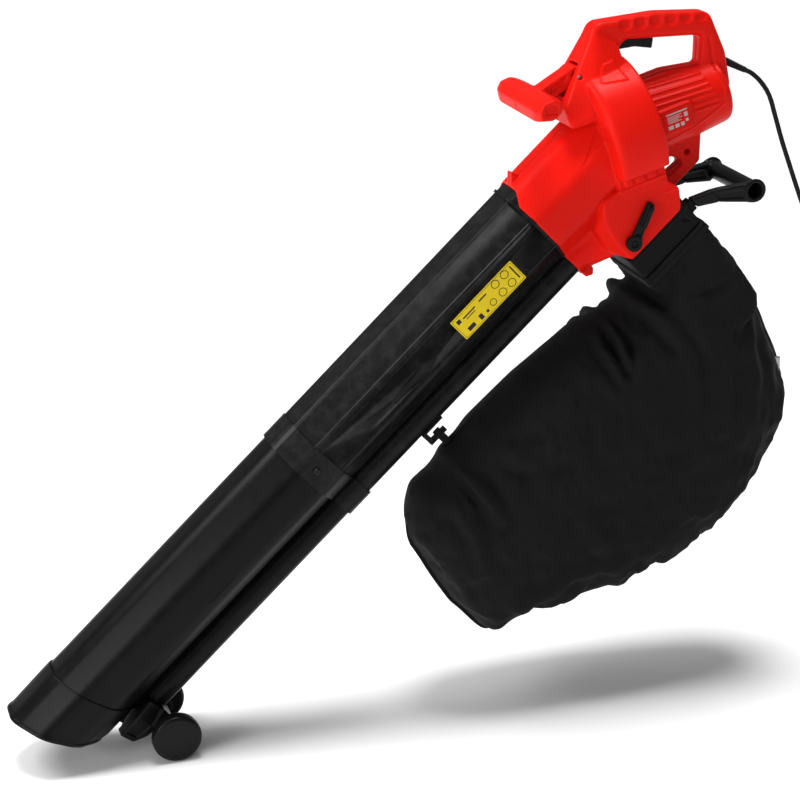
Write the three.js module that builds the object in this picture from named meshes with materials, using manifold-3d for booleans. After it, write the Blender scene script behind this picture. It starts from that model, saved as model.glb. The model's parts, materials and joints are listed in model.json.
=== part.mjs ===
// Leaf vacuum mulcher: suction tube, shredding fan, outlet chamber with bag, and a second tube for
// blowing. Millimetres, +Z up, +X to the rear, -Y the side that carries the mode lever.
// The origin is the middle of the main handle's grip, where a hand holds the machine.
import * as THREE from 'three';
import { mergeVertices } from 'three/addons/utils/BufferGeometryUtils.js';
import { ConvexGeometry } from 'three/addons/geometries/ConvexGeometry.js';
import Module from 'manifold-3d';

const wasm = await Module();
wasm.setup();

// ---- driving dimensions -------------------------------------------------------------------------
const GAP = 0.3; // clearance kept between neighbouring pieces
const WALL = 3; // housing wall
const TUBE_WALL = 2.5;
const TUBE_TILT = THREE.MathUtils.degToRad(43.6); // suction tube above the horizontal
const MOTOR_TILT = THREE.MathUtils.degToRad(17); // motor axis above the horizontal
const GRIP = { x: 350, z: 484 }; // grip middle, from the datum point near the middle of the tubes
const TUBE_DATUM = { x: -28.6, z: 30.1 }; // suction axis point at length 0
const FAN_CASE = { x: 262, z: 336 }; // centre of the fan casing's front face

// tube frame: x along the suction tube towards the housing, y across, z away from the blower tube
const TUBE = { flats: 115, corner: 13, socket: 289, insert: 34, joint: -121.5, collar: 36 };
const MOUTH = { x: -631, slope: 0.4 }; // slanted mouth: x = MOUTH.x - slope * z
const SLEEVE = { x: -558, slope: 0.25, thick: 2, tubeEnd: -590, taperEnd: -655 };
const BLOWER = { z: -79.5, radius: 20.5, end: -546 };
const OUTLET = { face: -116.5, half: 64, front: 345, rear: 438 };
const LEVER = { x: 361.5, z: -98, radius: 11, length: 58, rise: 24 };
const COLLAR = { front: 341, rear: 447, half: 61, depth: 35, wall: 4 };
const CARRY = { x: 526, z: -177, half: 66, radius: 12, root: 9 };
const WHEEL = { x: -531, z: -118.5, radius: 33.5, width: 20, inner: 45 };
const AXLE_RADIUS = 4;

// motor frame: x along the motor axis from the fan casing's front face to the rear, z up from the axis
const FAN = { radius: 95, depth: 68 };
const MOTOR = { front: 52, rear: 46, end: 191 };
const SHAFT_RADIUS = 4;

// upright frame, measured from the datum
const HANDLE_HALF = 17; // half width of the grip
const FRONT_GRIP = { x: 176, z: 397, half: 79, pivotX: 234, pivotZ: 424, arm: 13.7 };
const CORD_DIAMETER = 6.4;
const RELIEF = { x: 462, z: 422.8, length: 46, dip: 0.43 }; // middle of the strain relief, tilt downwards
const PLUG = { pin: 2.4, pitch: 9.5 };
const BAG_HALF = 100;
const BAG_CENTRE = { x: 310, z: -100 };

const COLOURS = {
  red: [0xd8190f, 0.38, 0],
  black: [0x1b1c1d, 0.42, 0],
  rubber: [0x111112, 0.75, 0],
  fabric: [0x0f0f10, 0.95, 0],
  steel: [0x9a9da1, 0.35, 1],
  copper: [0xb4672e, 0.4, 1],
  zinc: [0xb9bcc0, 0.4, 1],
  yellow: [0xf2d516, 0.5, 0],
  silver: [0xc9c9cb, 0.45, 0],
};

// ---- solids -------------------------------------------------------------------------------------
// A closed three.js geometry as a manifold solid, turned outside out where its profile ran backwards.
function solid(geometry) {
  const bare = new THREE.BufferGeometry();
  bare.setAttribute('position', (geometry.index ? geometry.toNonIndexed() : geometry).attributes.position);
  const merged = mergeVertices(bare, 1e-4);
  const p = merged.attributes.position.array;
  const faces = [];
  let volume = 0;
  for (let i = 0; i < merged.index.count; i += 3) {
    const [a, b, c] = [0, 1, 2].map((k) => merged.index.array[i + k]);
    if (a === b || b === c || c === a) continue;
    faces.push(a, b, c);
    const [A, B, C] = [a, b, c].map((k) => new THREE.Vector3(p[3 * k], p[3 * k + 1], p[3 * k + 2]));
    volume += A.dot(B.cross(C));
  }
  if (volume < 0) faces.reverse();
  return new wasm.Manifold(
    new wasm.Mesh({ numProp: 3, vertProperties: p, triVerts: new Uint32Array(faces) }),
  );
}

function geometryOf(made) {
  const mesh = made.getMesh();
  const geometry = new THREE.BufferGeometry();
  geometry.setAttribute('position', new THREE.BufferAttribute(Float32Array.from(mesh.vertProperties), 3));
  geometry.setIndex(new THREE.BufferAttribute(Uint32Array.from(mesh.triVerts), 1));
  geometry.computeVertexNormals();
  return geometry;
}

const join = (...parts) => parts.reduce((a, b) => a.add(b));
const cut = (from, ...tools) => tools.reduce((a, b) => a.subtract(b), from);

function box(x0, x1, y0, y1, z0, z1) {
  const g = new THREE.BoxGeometry(x1 - x0, y1 - y0, z1 - z0);
  return solid(g.translate((x0 + x1) / 2, (y0 + y1) / 2, (z0 + z1) / 2));
}

// Round rods along X and along Y.
function rodX(radius, x0, x1, y = 0, z = 0, sides = 24, radiusEnd = radius) {
  const g = new THREE.CylinderGeometry(radiusEnd, radius, x1 - x0, sides);
  return solid(g.rotateZ(-Math.PI / 2).translate((x0 + x1) / 2, y, z));
}
function rodY(radius, y0, y1, x, z, sides = 24) {
  const g = new THREE.CylinderGeometry(radius, radius, y1 - y0, sides);
  return solid(g.translate(x, (y0 + y1) / 2, z));
}

// A profile of [x, radius] points turned about the X axis.
function turned(profile, sides = 40) {
  const g = new THREE.LatheGeometry(profile.map(([x, r]) => new THREE.Vector2(r, x)), sides);
  return solid(g.rotateZ(-Math.PI / 2));
}

// Corners rounded by short curves: each corner is [u, v] or [u, v, radius].
function rounded(corners, radius = 0, steps = 3) {
  const out = [];
  corners.forEach(([u, v, own], i) => {
    const r = own ?? radius;
    const at = new THREE.Vector2(u, v);
    const before = new THREE.Vector2(...corners.at(i - 1)).sub(at);
    const after = new THREE.Vector2(...corners[(i + 1) % corners.length]).sub(at);
    if (!r) return out.push(at);
    const reach = r / Math.tan(Math.abs(before.angleTo(after)) / 2);
    const a = at.clone().addScaledVector(before.normalize(), reach);
    const b = at.clone().addScaledVector(after.normalize(), reach);
    return out.push(...new THREE.QuadraticBezierCurve(a, at, b).getPoints(steps));
  });
  return out;
}

// An outline in the XZ plane, extruded along Y between y0 and y1, with an optional soft edge.
function slabY(outline, y0, y1, { holes = [], edge = 0, steps = 2 } = {}) {
  const anticlockwise = THREE.ShapeUtils.isClockWise(outline) ? outline.toReversed() : outline;
  const shape = new THREE.Shape(anticlockwise);
  shape.holes = holes.map((h) => new THREE.Path(h));
  const g = new THREE.ExtrudeGeometry(shape, {
    depth: y1 - y0 - 2 * edge,
    curveSegments: 1,
    bevelEnabled: edge > 0,
    bevelThickness: edge,
    bevelSize: edge,
    bevelOffset: -edge,
    bevelSegments: steps,
  });
  return solid(g.rotateX(Math.PI / 2).translate(0, y1 - edge, 0));
}

// An outline in the YZ plane, extruded along X.
function barX(outline, x0, x1, hole) {
  const shape = new THREE.Shape(outline);
  if (hole) shape.holes = [new THREE.Path(hole)];
  const g = new THREE.ExtrudeGeometry(shape, { depth: x1 - x0, bevelEnabled: false, curveSegments: 1 });
  const axes = new THREE.Matrix4().makeBasis(
    new THREE.Vector3(0, 1, 0), new THREE.Vector3(0, 0, 1), new THREE.Vector3(1, 0, 0));
  return solid(g.applyMatrix4(axes).translate(x0, 0, 0));
}

function hull(points) {
  return solid(new ConvexGeometry(points.map((p) => new THREE.Vector3(...p))));
}
// The same points on both sides of the middle plane.
const bothSides = (points) => points.flatMap(([x, y, z]) => [[x, y, z], [x, -y, z]]);

// Solids drawn in the tube or motor frame, moved to the datum frame.
const tubeMatrix = new THREE.Matrix4().makeRotationY(-TUBE_TILT).setPosition(TUBE_DATUM.x, 0, TUBE_DATUM.z);
const motorMatrix = new THREE.Matrix4().makeRotationY(-MOTOR_TILT).setPosition(FAN_CASE.x, 0, FAN_CASE.z);
const moved = (made, matrix) => solid(geometryOf(made).applyMatrix4(matrix));

// ---- scene graph --------------------------------------------------------------------------------
const machine = new THREE.Group();
const upright = new THREE.Group();
upright.position.set(-GRIP.x, 0, -GRIP.z);
const tubes = new THREE.Group();
tubes.applyMatrix4(tubeMatrix);
const motor = new THREE.Group();
motor.applyMatrix4(motorMatrix);
upright.add(tubes, motor);
machine.add(upright);

function add(group, name, made, colour) {
  const [color, roughness, metalness] = COLOURS[colour];
  const mesh = new THREE.Mesh(geometryOf(made), new THREE.MeshStandardMaterial({ color, roughness, metalness }));
  mesh.name = name;
  group.add(mesh);
}

// ---- tubes --------------------------------------------------------------------------------------
// The suction tube's section is an octagon with rounded corners.
function octagon(flats, corner = TUBE.corner) {
  const reach = flats / 2 / Math.cos(Math.PI / 8);
  const corners = [...Array(8).keys()].map((k) => {
    const angle = Math.PI / 8 + (k * Math.PI) / 4;
    return [reach * Math.cos(angle), reach * Math.sin(angle)];
  });
  return rounded(corners, corner, 1);
}

// A large box that removes everything on the mouth side of the plane x = at - slope * z.
function mouthSide(at, slope) {
  const g = new THREE.BoxGeometry(400, 400, 600).translate(-200, 0, 0).rotateY(-Math.atan(slope));
  return solid(g.translate(at, 0, 0));
}

// The same towards the housing.
function headSide(at, slope) {
  const g = new THREE.BoxGeometry(400, 400, 600).translate(200, 0, 0).rotateY(-Math.atan(slope));
  return solid(g.translate(at, 0, 0));
}

const octagonTube = (flats, x0, x1, wall = TUBE_WALL) =>
  barX(octagon(flats), x0, x1, octagon(flats - 2 * wall, TUBE.corner - wall / 2));

const blowerRod = (radius, x0, x1) => rodX(radius, x0, x1, 0, BLOWER.z, 22);

// Both air paths of one tube length, joined by a web.
function tubeLength(x0, x1, blowerFrom, webFrom = 0) {
  const bigBore = barX(octagon(TUBE.flats - 2 * TUBE_WALL), x0 - 1, x1 + 1);
  const web = box(blowerFrom + webFrom, x1, -6, 6, BLOWER.z + 4, -TUBE.flats / 2 + 1);
  const outer = join(octagonTube(TUBE.flats, x0, x1), blowerRod(BLOWER.radius, blowerFrom, x1), web);
  return cut(outer, bigBore, blowerRod(BLOWER.radius - TUBE_WALL, blowerFrom - 1, x1 + 1));
}

function lowerTube() {
  return cut(tubeLength(-680, TUBE.joint - GAP, BLOWER.end, 14), mouthSide(SLEEVE.tubeEnd, SLEEVE.slope));
}

// The sleeve's section closer to the mouth: a little narrower, with its underside raised.
function taperedOctagon(flats) {
  const raise = (z) => (z > 0 ? z * 0.985 : z * 0.74);
  return octagon(flats, TUBE.corner).map((p) => [p.x * 0.97, raise(p.y)]);
}

// The sleeve over the lower tube's end narrows to the slanted mouth and its rolled lip.
function nozzleSleeve() {
  const skin = (flats) => hull([
    ...octagon(flats).flatMap((p) => [[-500, p.x, p.y], [SLEEVE.tubeEnd, p.x, p.y]]),
    ...taperedOctagon(flats).flatMap(([y, z]) => [[SLEEVE.taperEnd, y, z], [-700, y, z]]),
  ]);
  const inner = TUBE.flats + 2 * GAP;
  const bore = join(barX(octagon(inner), SLEEVE.tubeEnd - 20, -490), skin(inner));
  const body = cut(skin(inner + 2 * SLEEVE.thick), headSide(SLEEVE.x, SLEEVE.slope));
  const lip = cut(skin(inner + 2 * SLEEVE.thick + 2.4), headSide(MOUTH.x + 6, MOUTH.slope));
  const longBore = join(bore, barX(taperedOctagon(inner).map(([y, z]) => new THREE.Vector2(y, z)), -710, -690));
  const blower = blowerRod(BLOWER.radius + GAP, BLOWER.end - GAP, -500);
  return cut(join(body, lip), longBore, blower, mouthSide(MOUTH.x, MOUTH.slope));
}

// The upper tube ends below in a collar that takes the lower tube, and above in the housing's socket.
function upperTube() {
  const low = TUBE.joint - TUBE.collar;
  const inner = TUBE.flats + 2 * GAP;
  const web = box(low + 2, TUBE.joint, -9, 9, BLOWER.z + 6, -TUBE.flats / 2 - GAP - 0.5);
  const neck = (x0, x1) =>
    join(octagonTube(TUBE.flats + 6, x0, x1, 3 - GAP), cut(blowerRod(23.5, x0, x1), blowerRod(20.8, x0 - 1, x1 + 1)));
  const shoulder = cut(
    join(barX(octagon(TUBE.flats + 6), TUBE.joint, TUBE.joint + 4), blowerRod(23.5, TUBE.joint, TUBE.joint + 4)),
    barX(octagon(TUBE.flats - 2 * TUBE_WALL), TUBE.joint - 1, TUBE.joint + 5),
    blowerRod(BLOWER.radius - TUBE_WALL, TUBE.joint - 1, TUBE.joint + 5),
  );
  const bores = [
    barX(octagon(inner), low - 1, TUBE.joint),
    blowerRod(BLOWER.radius + GAP, low - 1, TUBE.joint),
    box(low - 1, TUBE.joint, -6 - GAP, 6 + GAP, BLOWER.z, -TUBE.flats / 2 + 1),
  ];
  const skirt = cut(join(neck(low, TUBE.joint + 0.5), web), ...bores);
  const rim = cut(barX(octagon(TUBE.flats + 5), TUBE.socket - 4, TUBE.socket - GAP),
    barX(octagon(TUBE.flats - 2 * TUBE_WALL), TUBE.socket - 5, TUBE.socket));
  return join(tubeLength(TUBE.joint, TUBE.socket + TUBE.insert, TUBE.joint), shoulder, skirt, rim);
}

// A hook on the blower tube for the bag's strap: a finger that points up the tube.
function bagHook() {
  const plate = hull(bothSides([[-16, 7, -99.4], [22, 7, -99.4], [-16, 7, -103.5], [22, 7, -103.5]]));
  const stem = box(-16, -9, -6, 6, -118, -103);
  return join(plate, stem, box(-16, 14, -6, 6, -122, -117));
}

function buildTubes() {
  add(tubes, 'lower_tube', lowerTube(), 'black');
  add(tubes, 'nozzle_sleeve', nozzleSleeve(), 'black');
  const hookSeat = blowerRod(BLOWER.radius + GAP, -40, 60);
  add(tubes, 'upper_tube', upperTube(), 'black');
  add(tubes, 'bag_hook', cut(bagHook(), hookSeat), 'black');
  [-1, 1].forEach((side) => {
    const head = rodY(4.5, 0, 3.2, 0, 0, 12);
    const at = new THREE.Matrix4().makeTranslation(-139, side > 0 ? 60.8 : -64, 6);
    add(tubes, side < 0 ? 'tube_screw_near' : 'tube_screw_far', moved(head, at), 'zinc');
  });
  const label = slabY(rounded([[119, -22], [231, -22], [231, 12], [119, 12]], 2), -58.4, -57.8);
  add(tubes, 'upper_tube_label', label, 'yellow');
}

// ---- wheels -------------------------------------------------------------------------------------
// The blower tube's outlet block carries the axle in two lugs and leaves the air path open.
function wheelCarrier() {
  const block = hull(bothSides([
    [-582, 33, -68], [-580, 27, -92], [-548, 40, -64], [-520, 34, -64], [-520, 30, -102], [-560, 30, -101],
  ]));
  const lugs = hull(bothSides([
    [WHEEL.x - 11, 38, WHEEL.z - 6], [WHEEL.x + 11, 38, WHEEL.z - 6], [WHEEL.x - 14, 38, -92], [-516, 38, -84],
    [WHEEL.x - 5, 38, WHEEL.z - 11], [WHEEL.x + 5, 38, WHEEL.z - 11],
  ]));
  const gapBetween = box(-600, -500, -27, 27, -140, -103.5);
  const seat = blowerRod(BLOWER.radius + GAP, BLOWER.end - GAP, -500);
  const air = blowerRod(BLOWER.radius - 2, -640, BLOWER.end + 1);
  const underTube = barX(octagon(TUBE.flats + 8), -700, -480);
  const web = box(-560, -500, -6 - GAP, 6 + GAP, BLOWER.z, -50);
  const axleHole = rodY(AXLE_RADIUS + GAP, -60, 60, WHEEL.x, WHEEL.z, 20);
  return cut(join(block, lugs), gapBetween, seat, air, underTube, web, axleHole);
}

function wheelProfile() {
  const { radius, width } = WHEEL;
  const hub = AXLE_RADIUS + GAP;
  return [
    [0, hub], [0, radius - 5], [4, radius], [width - 5, radius], [width - 1, radius - 3], [width + 1, 8],
    [width + 1, 0], [width - 4, 0], [width - 4, hub], [0, hub],
  ];
}

function buildWheels() {
  add(tubes, 'wheel_carrier', wheelCarrier(), 'black');
  const reach = WHEEL.inner + WHEEL.width - 4 - GAP;
  add(tubes, 'wheel_axle', rodY(AXLE_RADIUS, -reach, reach, WHEEL.x, WHEEL.z, 20), 'steel');
  [['wheel_near', -1], ['wheel_far', 1]].forEach(([name, side]) => {
    const turn = new THREE.Matrix4().makeRotationZ((side * Math.PI) / 2);
    turn.setPosition(WHEEL.x, side * WHEEL.inner, WHEEL.z);
    add(tubes, name, moved(turned(wheelProfile(), 30), turn), 'black');
  });
}

// ---- housing ------------------------------------------------------------------------------------
const outletOutline = rounded([
  [OUTLET.front, OUTLET.face], [OUTLET.rear, OUTLET.face], [456, -91], [441, -50], [396, -31], [366, -27],
  [338, -52], [331, -92],
]);
const chamberOutline = rounded([
  [OUTLET.front + WALL, OUTLET.face - 5], [OUTLET.rear - WALL, OUTLET.face - 5], [OUTLET.rear - WALL, OUTLET.face],
  [452, -91], [438, -54], [400, -50], [392, -63.5], [341, -63.5], [335, -92], [OUTLET.front + WALL, OUTLET.face],
]);

const motorProfile = (inset, end) => [
  [FAN.depth - 6, 0], [FAN.depth - 6, MOTOR.front - inset], [MOTOR.end - 50, MOTOR.rear + 2 - inset],
  [end - 7, MOTOR.rear - 1 - inset], [end, MOTOR.rear - 8 - inset], [end, 0],
];

const fanProfile = (inset) => [
  [inset, 0], [inset, FAN.radius - 9 - inset], [inset + 3, FAN.radius - 3 - inset], [inset + 8, FAN.radius - inset],
  [FAN.depth - 8 - inset, FAN.radius - inset], [FAN.depth - 3 - inset, FAN.radius - 3 - inset],
  [FAN.depth - inset, FAN.radius - 9 - inset], [FAN.depth - inset, 0],
];

// Side view of the handle: front pillar, grip and rear pillar round the finger window.
const handleOutline = rounded([
  [236, 372], [240, 440, 30], [257, 490, 16], [345, 498.5, 60], [420, 496.5, 16],
  [446, 443, 20], [456, 400, 20], [452, 372], [330, 372],
]);
const windowOutline = rounded([
  [290, 452, 6], [303, 466, 8], [409, 466, 8], [409, 428, 6], [360, 423], [324, 412, 6], [301, 424, 6],
]);

// The front pillar spreads down over the fan casing.
const pillarFoot = () => hull(bothSides([
  [257, 15, 484], [288, 15, 470], [299, 17, 424], [303, 54, 398], [300, 50, 380],
  [211, 36, 384], [216, 50, 362], [250, 58, 380], [225, 30, 418], [232, 22, 436],
]));

// Loop behind the outlet chamber, under the motor casing.
function rearLoop() {
  const outer = rounded([[417, 340], [417, 298, 8], [384, 267, 6], [356, 256], [350, 285], [372, 340]]);
  const window = rounded([[361, 305], [370, 278, 3], [393, 296, 4], [379, 306, 3]]);
  return cut(slabY(outer, -13, 13, { edge: 2.5 }), slabY(window, -20, 20), rodY(4, -20, 20, 398, 311, 12));
}

// Low flanks of the fan casing, where the outlet chamber is narrower than the casing.
function casingFlanks(below, beyond) {
  return join(box(-5, 90, -120, -beyond, -120, below), box(-5, 90, beyond, 120, -120, below));
}

function housingOuter() {
  const size = TUBE.flats + 2 * WALL + 1;
  const inFrontOfFan = moved(moved(box(12, 300, -150, 150, -300, 300), motorMatrix), tubeMatrix.clone().invert());
  const duct = cut(barX(octagon(size), TUBE.socket, 470), inFrontOfFan);
  const topLug = hull(bothSides([
    [TUBE.socket + 4, 9, 58], [TUBE.socket + 4, 9, 84], [306, 8, 86], [316, 8, 74], [322, 8, 58]]));
  const outlet = slabY(outletOutline, -OUTLET.half, OUTLET.half, { edge: 2, steps: 1 });
  const neck = blowerRod(25.5, TUBE.socket, 350);
  const neckRoot = hull(bothSides([
    [TUBE.socket, 18, -60], [350, 24, -52], [350, 24, -66], [TUBE.socket, 18, -70]]));
  const neckWeb = hull(bothSides([
    [TUBE.socket + 6, 22, -88], [350, 30, -80], [350, 40, -112], [TUBE.socket + 14, 12, -104]]));
  const lowLug = hull(bothSides([
    [TUBE.socket + 2, 7, -100], [307, 7, -100], [TUBE.socket + 2, 7, -114], [300, 7, -119], [307, 7, -112]]));
  const fanCase = cut(turned(fanProfile(0), 48), casingFlanks(-42, OUTLET.half));
  const motorCase = turned(motorProfile(0, MOTOR.end), 32);
  const labelPad = box(82, 128, -MOTOR.front - 0.5, -40, -17, 17);
  return join(
    moved(join(duct, topLug, outlet, neck, neckRoot, neckWeb, lowLug), tubeMatrix),
    moved(join(fanCase, motorCase, labelPad), motorMatrix),
    slabY(handleOutline, -HANDLE_HALF, HANDLE_HALF, { holes: [windowOutline], edge: 8, steps: 3 }),
    pillarFoot(),
    rearLoop(),
  );
}

// Room for the front grip's arm to tilt inside the front pillar.
function gripSlot() {
  const { pivotX, pivotZ, arm } = FRONT_GRIP;
  const half = arm + GAP;
  return join(rodY(15, -half, half, pivotX, pivotZ, 20), box(180, pivotX, -half, half, pivotZ - 27, pivotZ + 15));
}

// Air paths and the hollows for motor, switch, tube ends, shaft and cable.
function housingCavities() {
  const socket = TUBE.socket;
  const seated = socket + TUBE.insert + GAP;
  const bigSeat = barX(octagon(TUBE.flats + 2 * GAP), socket - 5, seated);
  const beyondFront = moved(moved(box(6, 300, -150, 150, -300, 300), motorMatrix), tubeMatrix.clone().invert());
  const ductBore = cut(barX(octagon(TUBE.flats - 2 * TUBE_WALL), socket, 470), beyondFront);
  const blowerSeat = blowerRod(BLOWER.radius + GAP, socket - 5, seated);
  const blowerBore = blowerRod(BLOWER.radius - TUBE_WALL, socket, 352);
  const chamber = slabY(chamberOutline, -OUTLET.half + WALL, OUTLET.half - WALL);
  const web = box(socket - 5, seated, -6 - GAP, 6 + GAP, BLOWER.z, -TUBE.flats / 2 + 1);
  const shaftHole = rodY(5, -OUTLET.half - 2, OUTLET.half - 3.5, LEVER.x, LEVER.z, 16);
  const fanSpace = cut(turned(fanProfile(WALL), 48), casingFlanks(-42 + WALL, OUTLET.half - 0.5));
  const motorSpace = turned(motorProfile(WALL, MOTOR.end - WALL), 32);
  const eye = rodX(44, -4, 8, 0, 0, 40);
  const gripSpace = slabY(rounded([[272, 470], [300, 476], [420, 474], [424, 488], [345, 490], [274, 482]]), -10, 10);
  const rearSpace = slabY(rounded([[418, 480], [428, 478], [442, 435], [446, 395], [420, 395], [420, 440]]), -10, 10);
  const triggerSlot = box(289, 347, -7, 7, 440, 480);
  const cableHole = new THREE.CylinderGeometry(5.6, 5.6, 60, 12).rotateZ(Math.PI / 2).rotateY(RELIEF.dip);
  return [
    moved(join(bigSeat, ductBore, blowerSeat, blowerBore, web, chamber, shaftHole), tubeMatrix),
    moved(join(fanSpace, motorSpace, eye), motorMatrix),
    gripSpace, rearSpace, triggerSlot, solid(cableHole.translate(RELIEF.x, 0, RELIEF.z)), gripSlot(),
    rodY(3.2, -40, 40, FRONT_GRIP.pivotX, FRONT_GRIP.pivotZ, 16),
  ];
}

function buildHousing() {
  const whole = cut(housingOuter(), ...housingCavities());
  const seam = 0.15;
  const screws = [[270, 392, 54], [266, 479, 13], [432, 452, 14], [384, 276, 9]];
  const recess = screws.map(([x, z, y]) => rodY(4.2, y - 2, y + 20, x, z, 12));
  const near = cut(whole, box(-200, 700, -seam, 200, -200, 700));
  const far = cut(whole, box(-200, 700, -200, seam, -200, 700), ...recess);
  const largest = (made) => made.decompose().sort((a, b) => b.volume() - a.volume())[0];
  add(upright, 'housing_near', largest(near), 'red');
  add(upright, 'housing_far', largest(far), 'red');
  screws.forEach(([x, z, y], i) => {
    add(upright, `housing_screw_${i + 1}`, rodY(3.8, y - 2 + GAP, y + 1, x, z, 12), 'zinc');
  });
}

// ---- motor and fan ------------------------------------------------------------------------------
function impeller() {
  const disc = turned([[34, 0], [34, 74], [37, 74], [37, 0]], 36);
  const hub = turned([[14, 0], [14, 12], [34.5, 16], [34.5, 0]], 20);
  const blades = [...Array(8).keys()].map((k) => {
    const blade = hull([[35, 10, -1.2], [35, 10, 1.2], [35, 72, 10.8], [35, 72, 13.2], [12, 44, 3.8], [12, 44, 6.2],
      [16, 72, 10.8], [16, 72, 13.2], [16, 12, -1.2], [16, 12, 1.2]]);
    return moved(blade, new THREE.Matrix4().makeRotationX((k * Math.PI) / 4));
  });
  return cut(join(disc, hub, ...blades), rodX(SHAFT_RADIUS + GAP, 0, 60, 0, 0, 12));
}

function coolingFan() {
  const disc = turned([[78, 0], [78, 14], [80, 34], [82, 34], [82, 0]], 24);
  const blades = [...Array(8).keys()].map((k) =>
    moved(box(72, 81, 12, 34, -0.8, 0.8), new THREE.Matrix4().makeRotationX((k * Math.PI) / 4)));
  return cut(join(disc, ...blades, rodX(13, 73, 82)), rodX(SHAFT_RADIUS + GAP, 60, 90, 0, 0, 12));
}

const ring = (outer, inner, x0, x1, sides = 24) => cut(rodX(outer, x0, x1, 0, 0, sides),
  rodX(inner, x0 - 1, x1 + 1, 0, 0, sides));

function buildMotor() {
  const hole = SHAFT_RADIUS + GAP;
  add(motor, 'motor_shaft', rodX(SHAFT_RADIUS, 7, 184, 0, 0, 12), 'steel');
  add(motor, 'impeller', impeller(), 'zinc');
  add(motor, 'impeller_nut', cut(rodX(8, 8, 13.7, 0, 0, 6), rodX(hole, 7, 15, 0, 0, 12)), 'zinc');
  add(motor, 'fan_back_plate', cut(ring(FAN.radius - WALL - GAP, 16, 51, 54, 40),
    casingFlanks(-42 + WALL + GAP, OUTLET.half - 0.5 - GAP)), 'black');
  add(motor, 'front_bearing', ring(13, hole, 55, 64), 'steel');
  add(motor, 'cooling_fan', coolingFan(), 'black');
  add(motor, 'armature_core', ring(17, hole, 100, 146), 'steel');
  add(motor, 'stator', cut(ring(36, 17.8, 98, 148), box(90, 160, -40, 40, 33, 40), box(90, 160, -40, 40, -40, -33)),
    'steel');
  add(motor, 'field_winding_upper', hull(bothSides([[92, 22, 25], [92, 10, 31], [97.7, 22, 25], [97.7, 10, 31],
    [92, 10, 20], [97.7, 10, 20]])), 'copper');
  add(motor, 'field_winding_lower', hull(bothSides([[92, 22, -25], [92, 10, -31], [97.7, 22, -25], [97.7, 10, -31],
    [92, 10, -20], [97.7, 10, -20]])), 'copper');
  add(motor, 'commutator', ring(11, hole, 154, 168, 20), 'copper');
  add(motor, 'rear_bearing', ring(10, hole, 174, 181), 'steel');
  [-1, 1].forEach((side) => {
    const holder = side < 0 ? box(155, 167, -26, -11.5, -5, 5) : box(155, 167, 11.5, 26, -5, 5);
    add(motor, side < 0 ? 'brush_holder_near' : 'brush_holder_far', holder, 'copper');
  });
  const labelFace = -MOTOR.front - 0.5 - GAP;
  const label = slabY(rounded([[86, -14], [124, -14], [124, 14], [86, 14]], 2), labelFace - 0.5, labelFace);
  add(motor, 'rating_label', label, 'silver');
}

// ---- switch, diverter, front grip ---------------------------------------------------------------
function buildSwitch() {
  add(upright, 'switch_module', box(302, 338, -8, 8, 480.5, 484.5), 'black');
  const lever = slabY(rounded([[291, 452, 3], [343, 451.5, 2], [345, 472], [297, 472, 3], [291, 466, 2]]), -6.5, 6.5);
  add(upright, 'trigger', cut(lever, rodY(2.3, -10, 10, 298, 467.5, 12)), 'black');
  add(upright, 'trigger_pin', rodY(2, -6.8, 6.8, 298, 467.5, 12), 'steel');
}

// Lever, shaft and flap turn as one; the flap closes either the blower neck or the bag port.
function buildDiverter() {
  const { x, z, radius, length } = LEVER;
  const outer = -OUTLET.half - 0.6;
  const hub = rodY(radius, outer - 7, outer, x, z, 24);
  const arm = hull([
    [x - 4, outer - 6, z - 7], [x - 4, outer - 6, z + 7], [x - 4, outer, z - 7], [x - 4, outer, z + 7],
    [x + length, outer - 6, z - 5], [x + length, outer - 6, z + 5], [x + length, outer, z - 5],
    [x + length, outer, z + 5],
  ]);
  const rib = box(x + 8, x + length - 4, outer - 12, outer - 5, z - 2.5, z + 2.5);
  const turn = new THREE.Matrix4().makeTranslation(x, 0, z)
    .multiply(new THREE.Matrix4().makeRotationY(-THREE.MathUtils.degToRad(LEVER.rise)))
    .multiply(new THREE.Matrix4().makeTranslation(-x, 0, -z));
  const socket = rodY(4.5 + GAP, outer - 3, outer + 5, x, z, 16);
  add(tubes, 'mode_lever', cut(join(hub, moved(join(arm, rib), turn)), socket), 'black');
  add(tubes, 'flap_shaft', rodY(4.5, outer - 2.6, OUTLET.half - 4, x, z, 16), 'steel');
  const flap = cut(join(rodY(7.5, -48, 48, x, z, 16), box(x - 1.5, x + 1.5, -56, 56, z + 5, z + 33.5)),
    rodY(4.5 + GAP, -60, 60, x, z, 16));
  add(tubes, 'diverter_flap', flap, 'black');
}

// The front grip lies across the machine; its two halves meet in the middle plane.
function frontGrip() {
  const { x, z, half, pivotX, pivotZ, arm } = FRONT_GRIP;
  const section = (u) => [[x - 17, u, z - 18], [x + 3, u, z - 18], [x + 17, u, z - 6], [x + 17, u, z + 8],
    [x + 2, u, z + 14], [x - 14, u, z + 8], [x - 20, u, z - 4]];
  const nearer = (points, k) => points.map(([px, py, pz]) => [x + (px - x) * k, py, z + (pz - z) * k]);
  const bar = hull([...section(-half + 14), ...section(half - 14), ...nearer(section(-half), 0.78),
    ...nearer(section(half), 0.78)]);
  const knuckle = rodY(12, -arm, arm, pivotX, pivotZ, 20);
  const neck = hull([-arm, arm].flatMap((y) => [
    [x + 6, y, z - 9], [x + 6, y, z + 9], [pivotX - 4, y, pivotZ + 11], [pivotX + 4, y, pivotZ - 11],
    [pivotX - 8, y, pivotZ - 8]]));
  return cut(join(bar, knuckle, neck), rodY(3.3, -60, 60, pivotX, pivotZ, 16));
}

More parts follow.
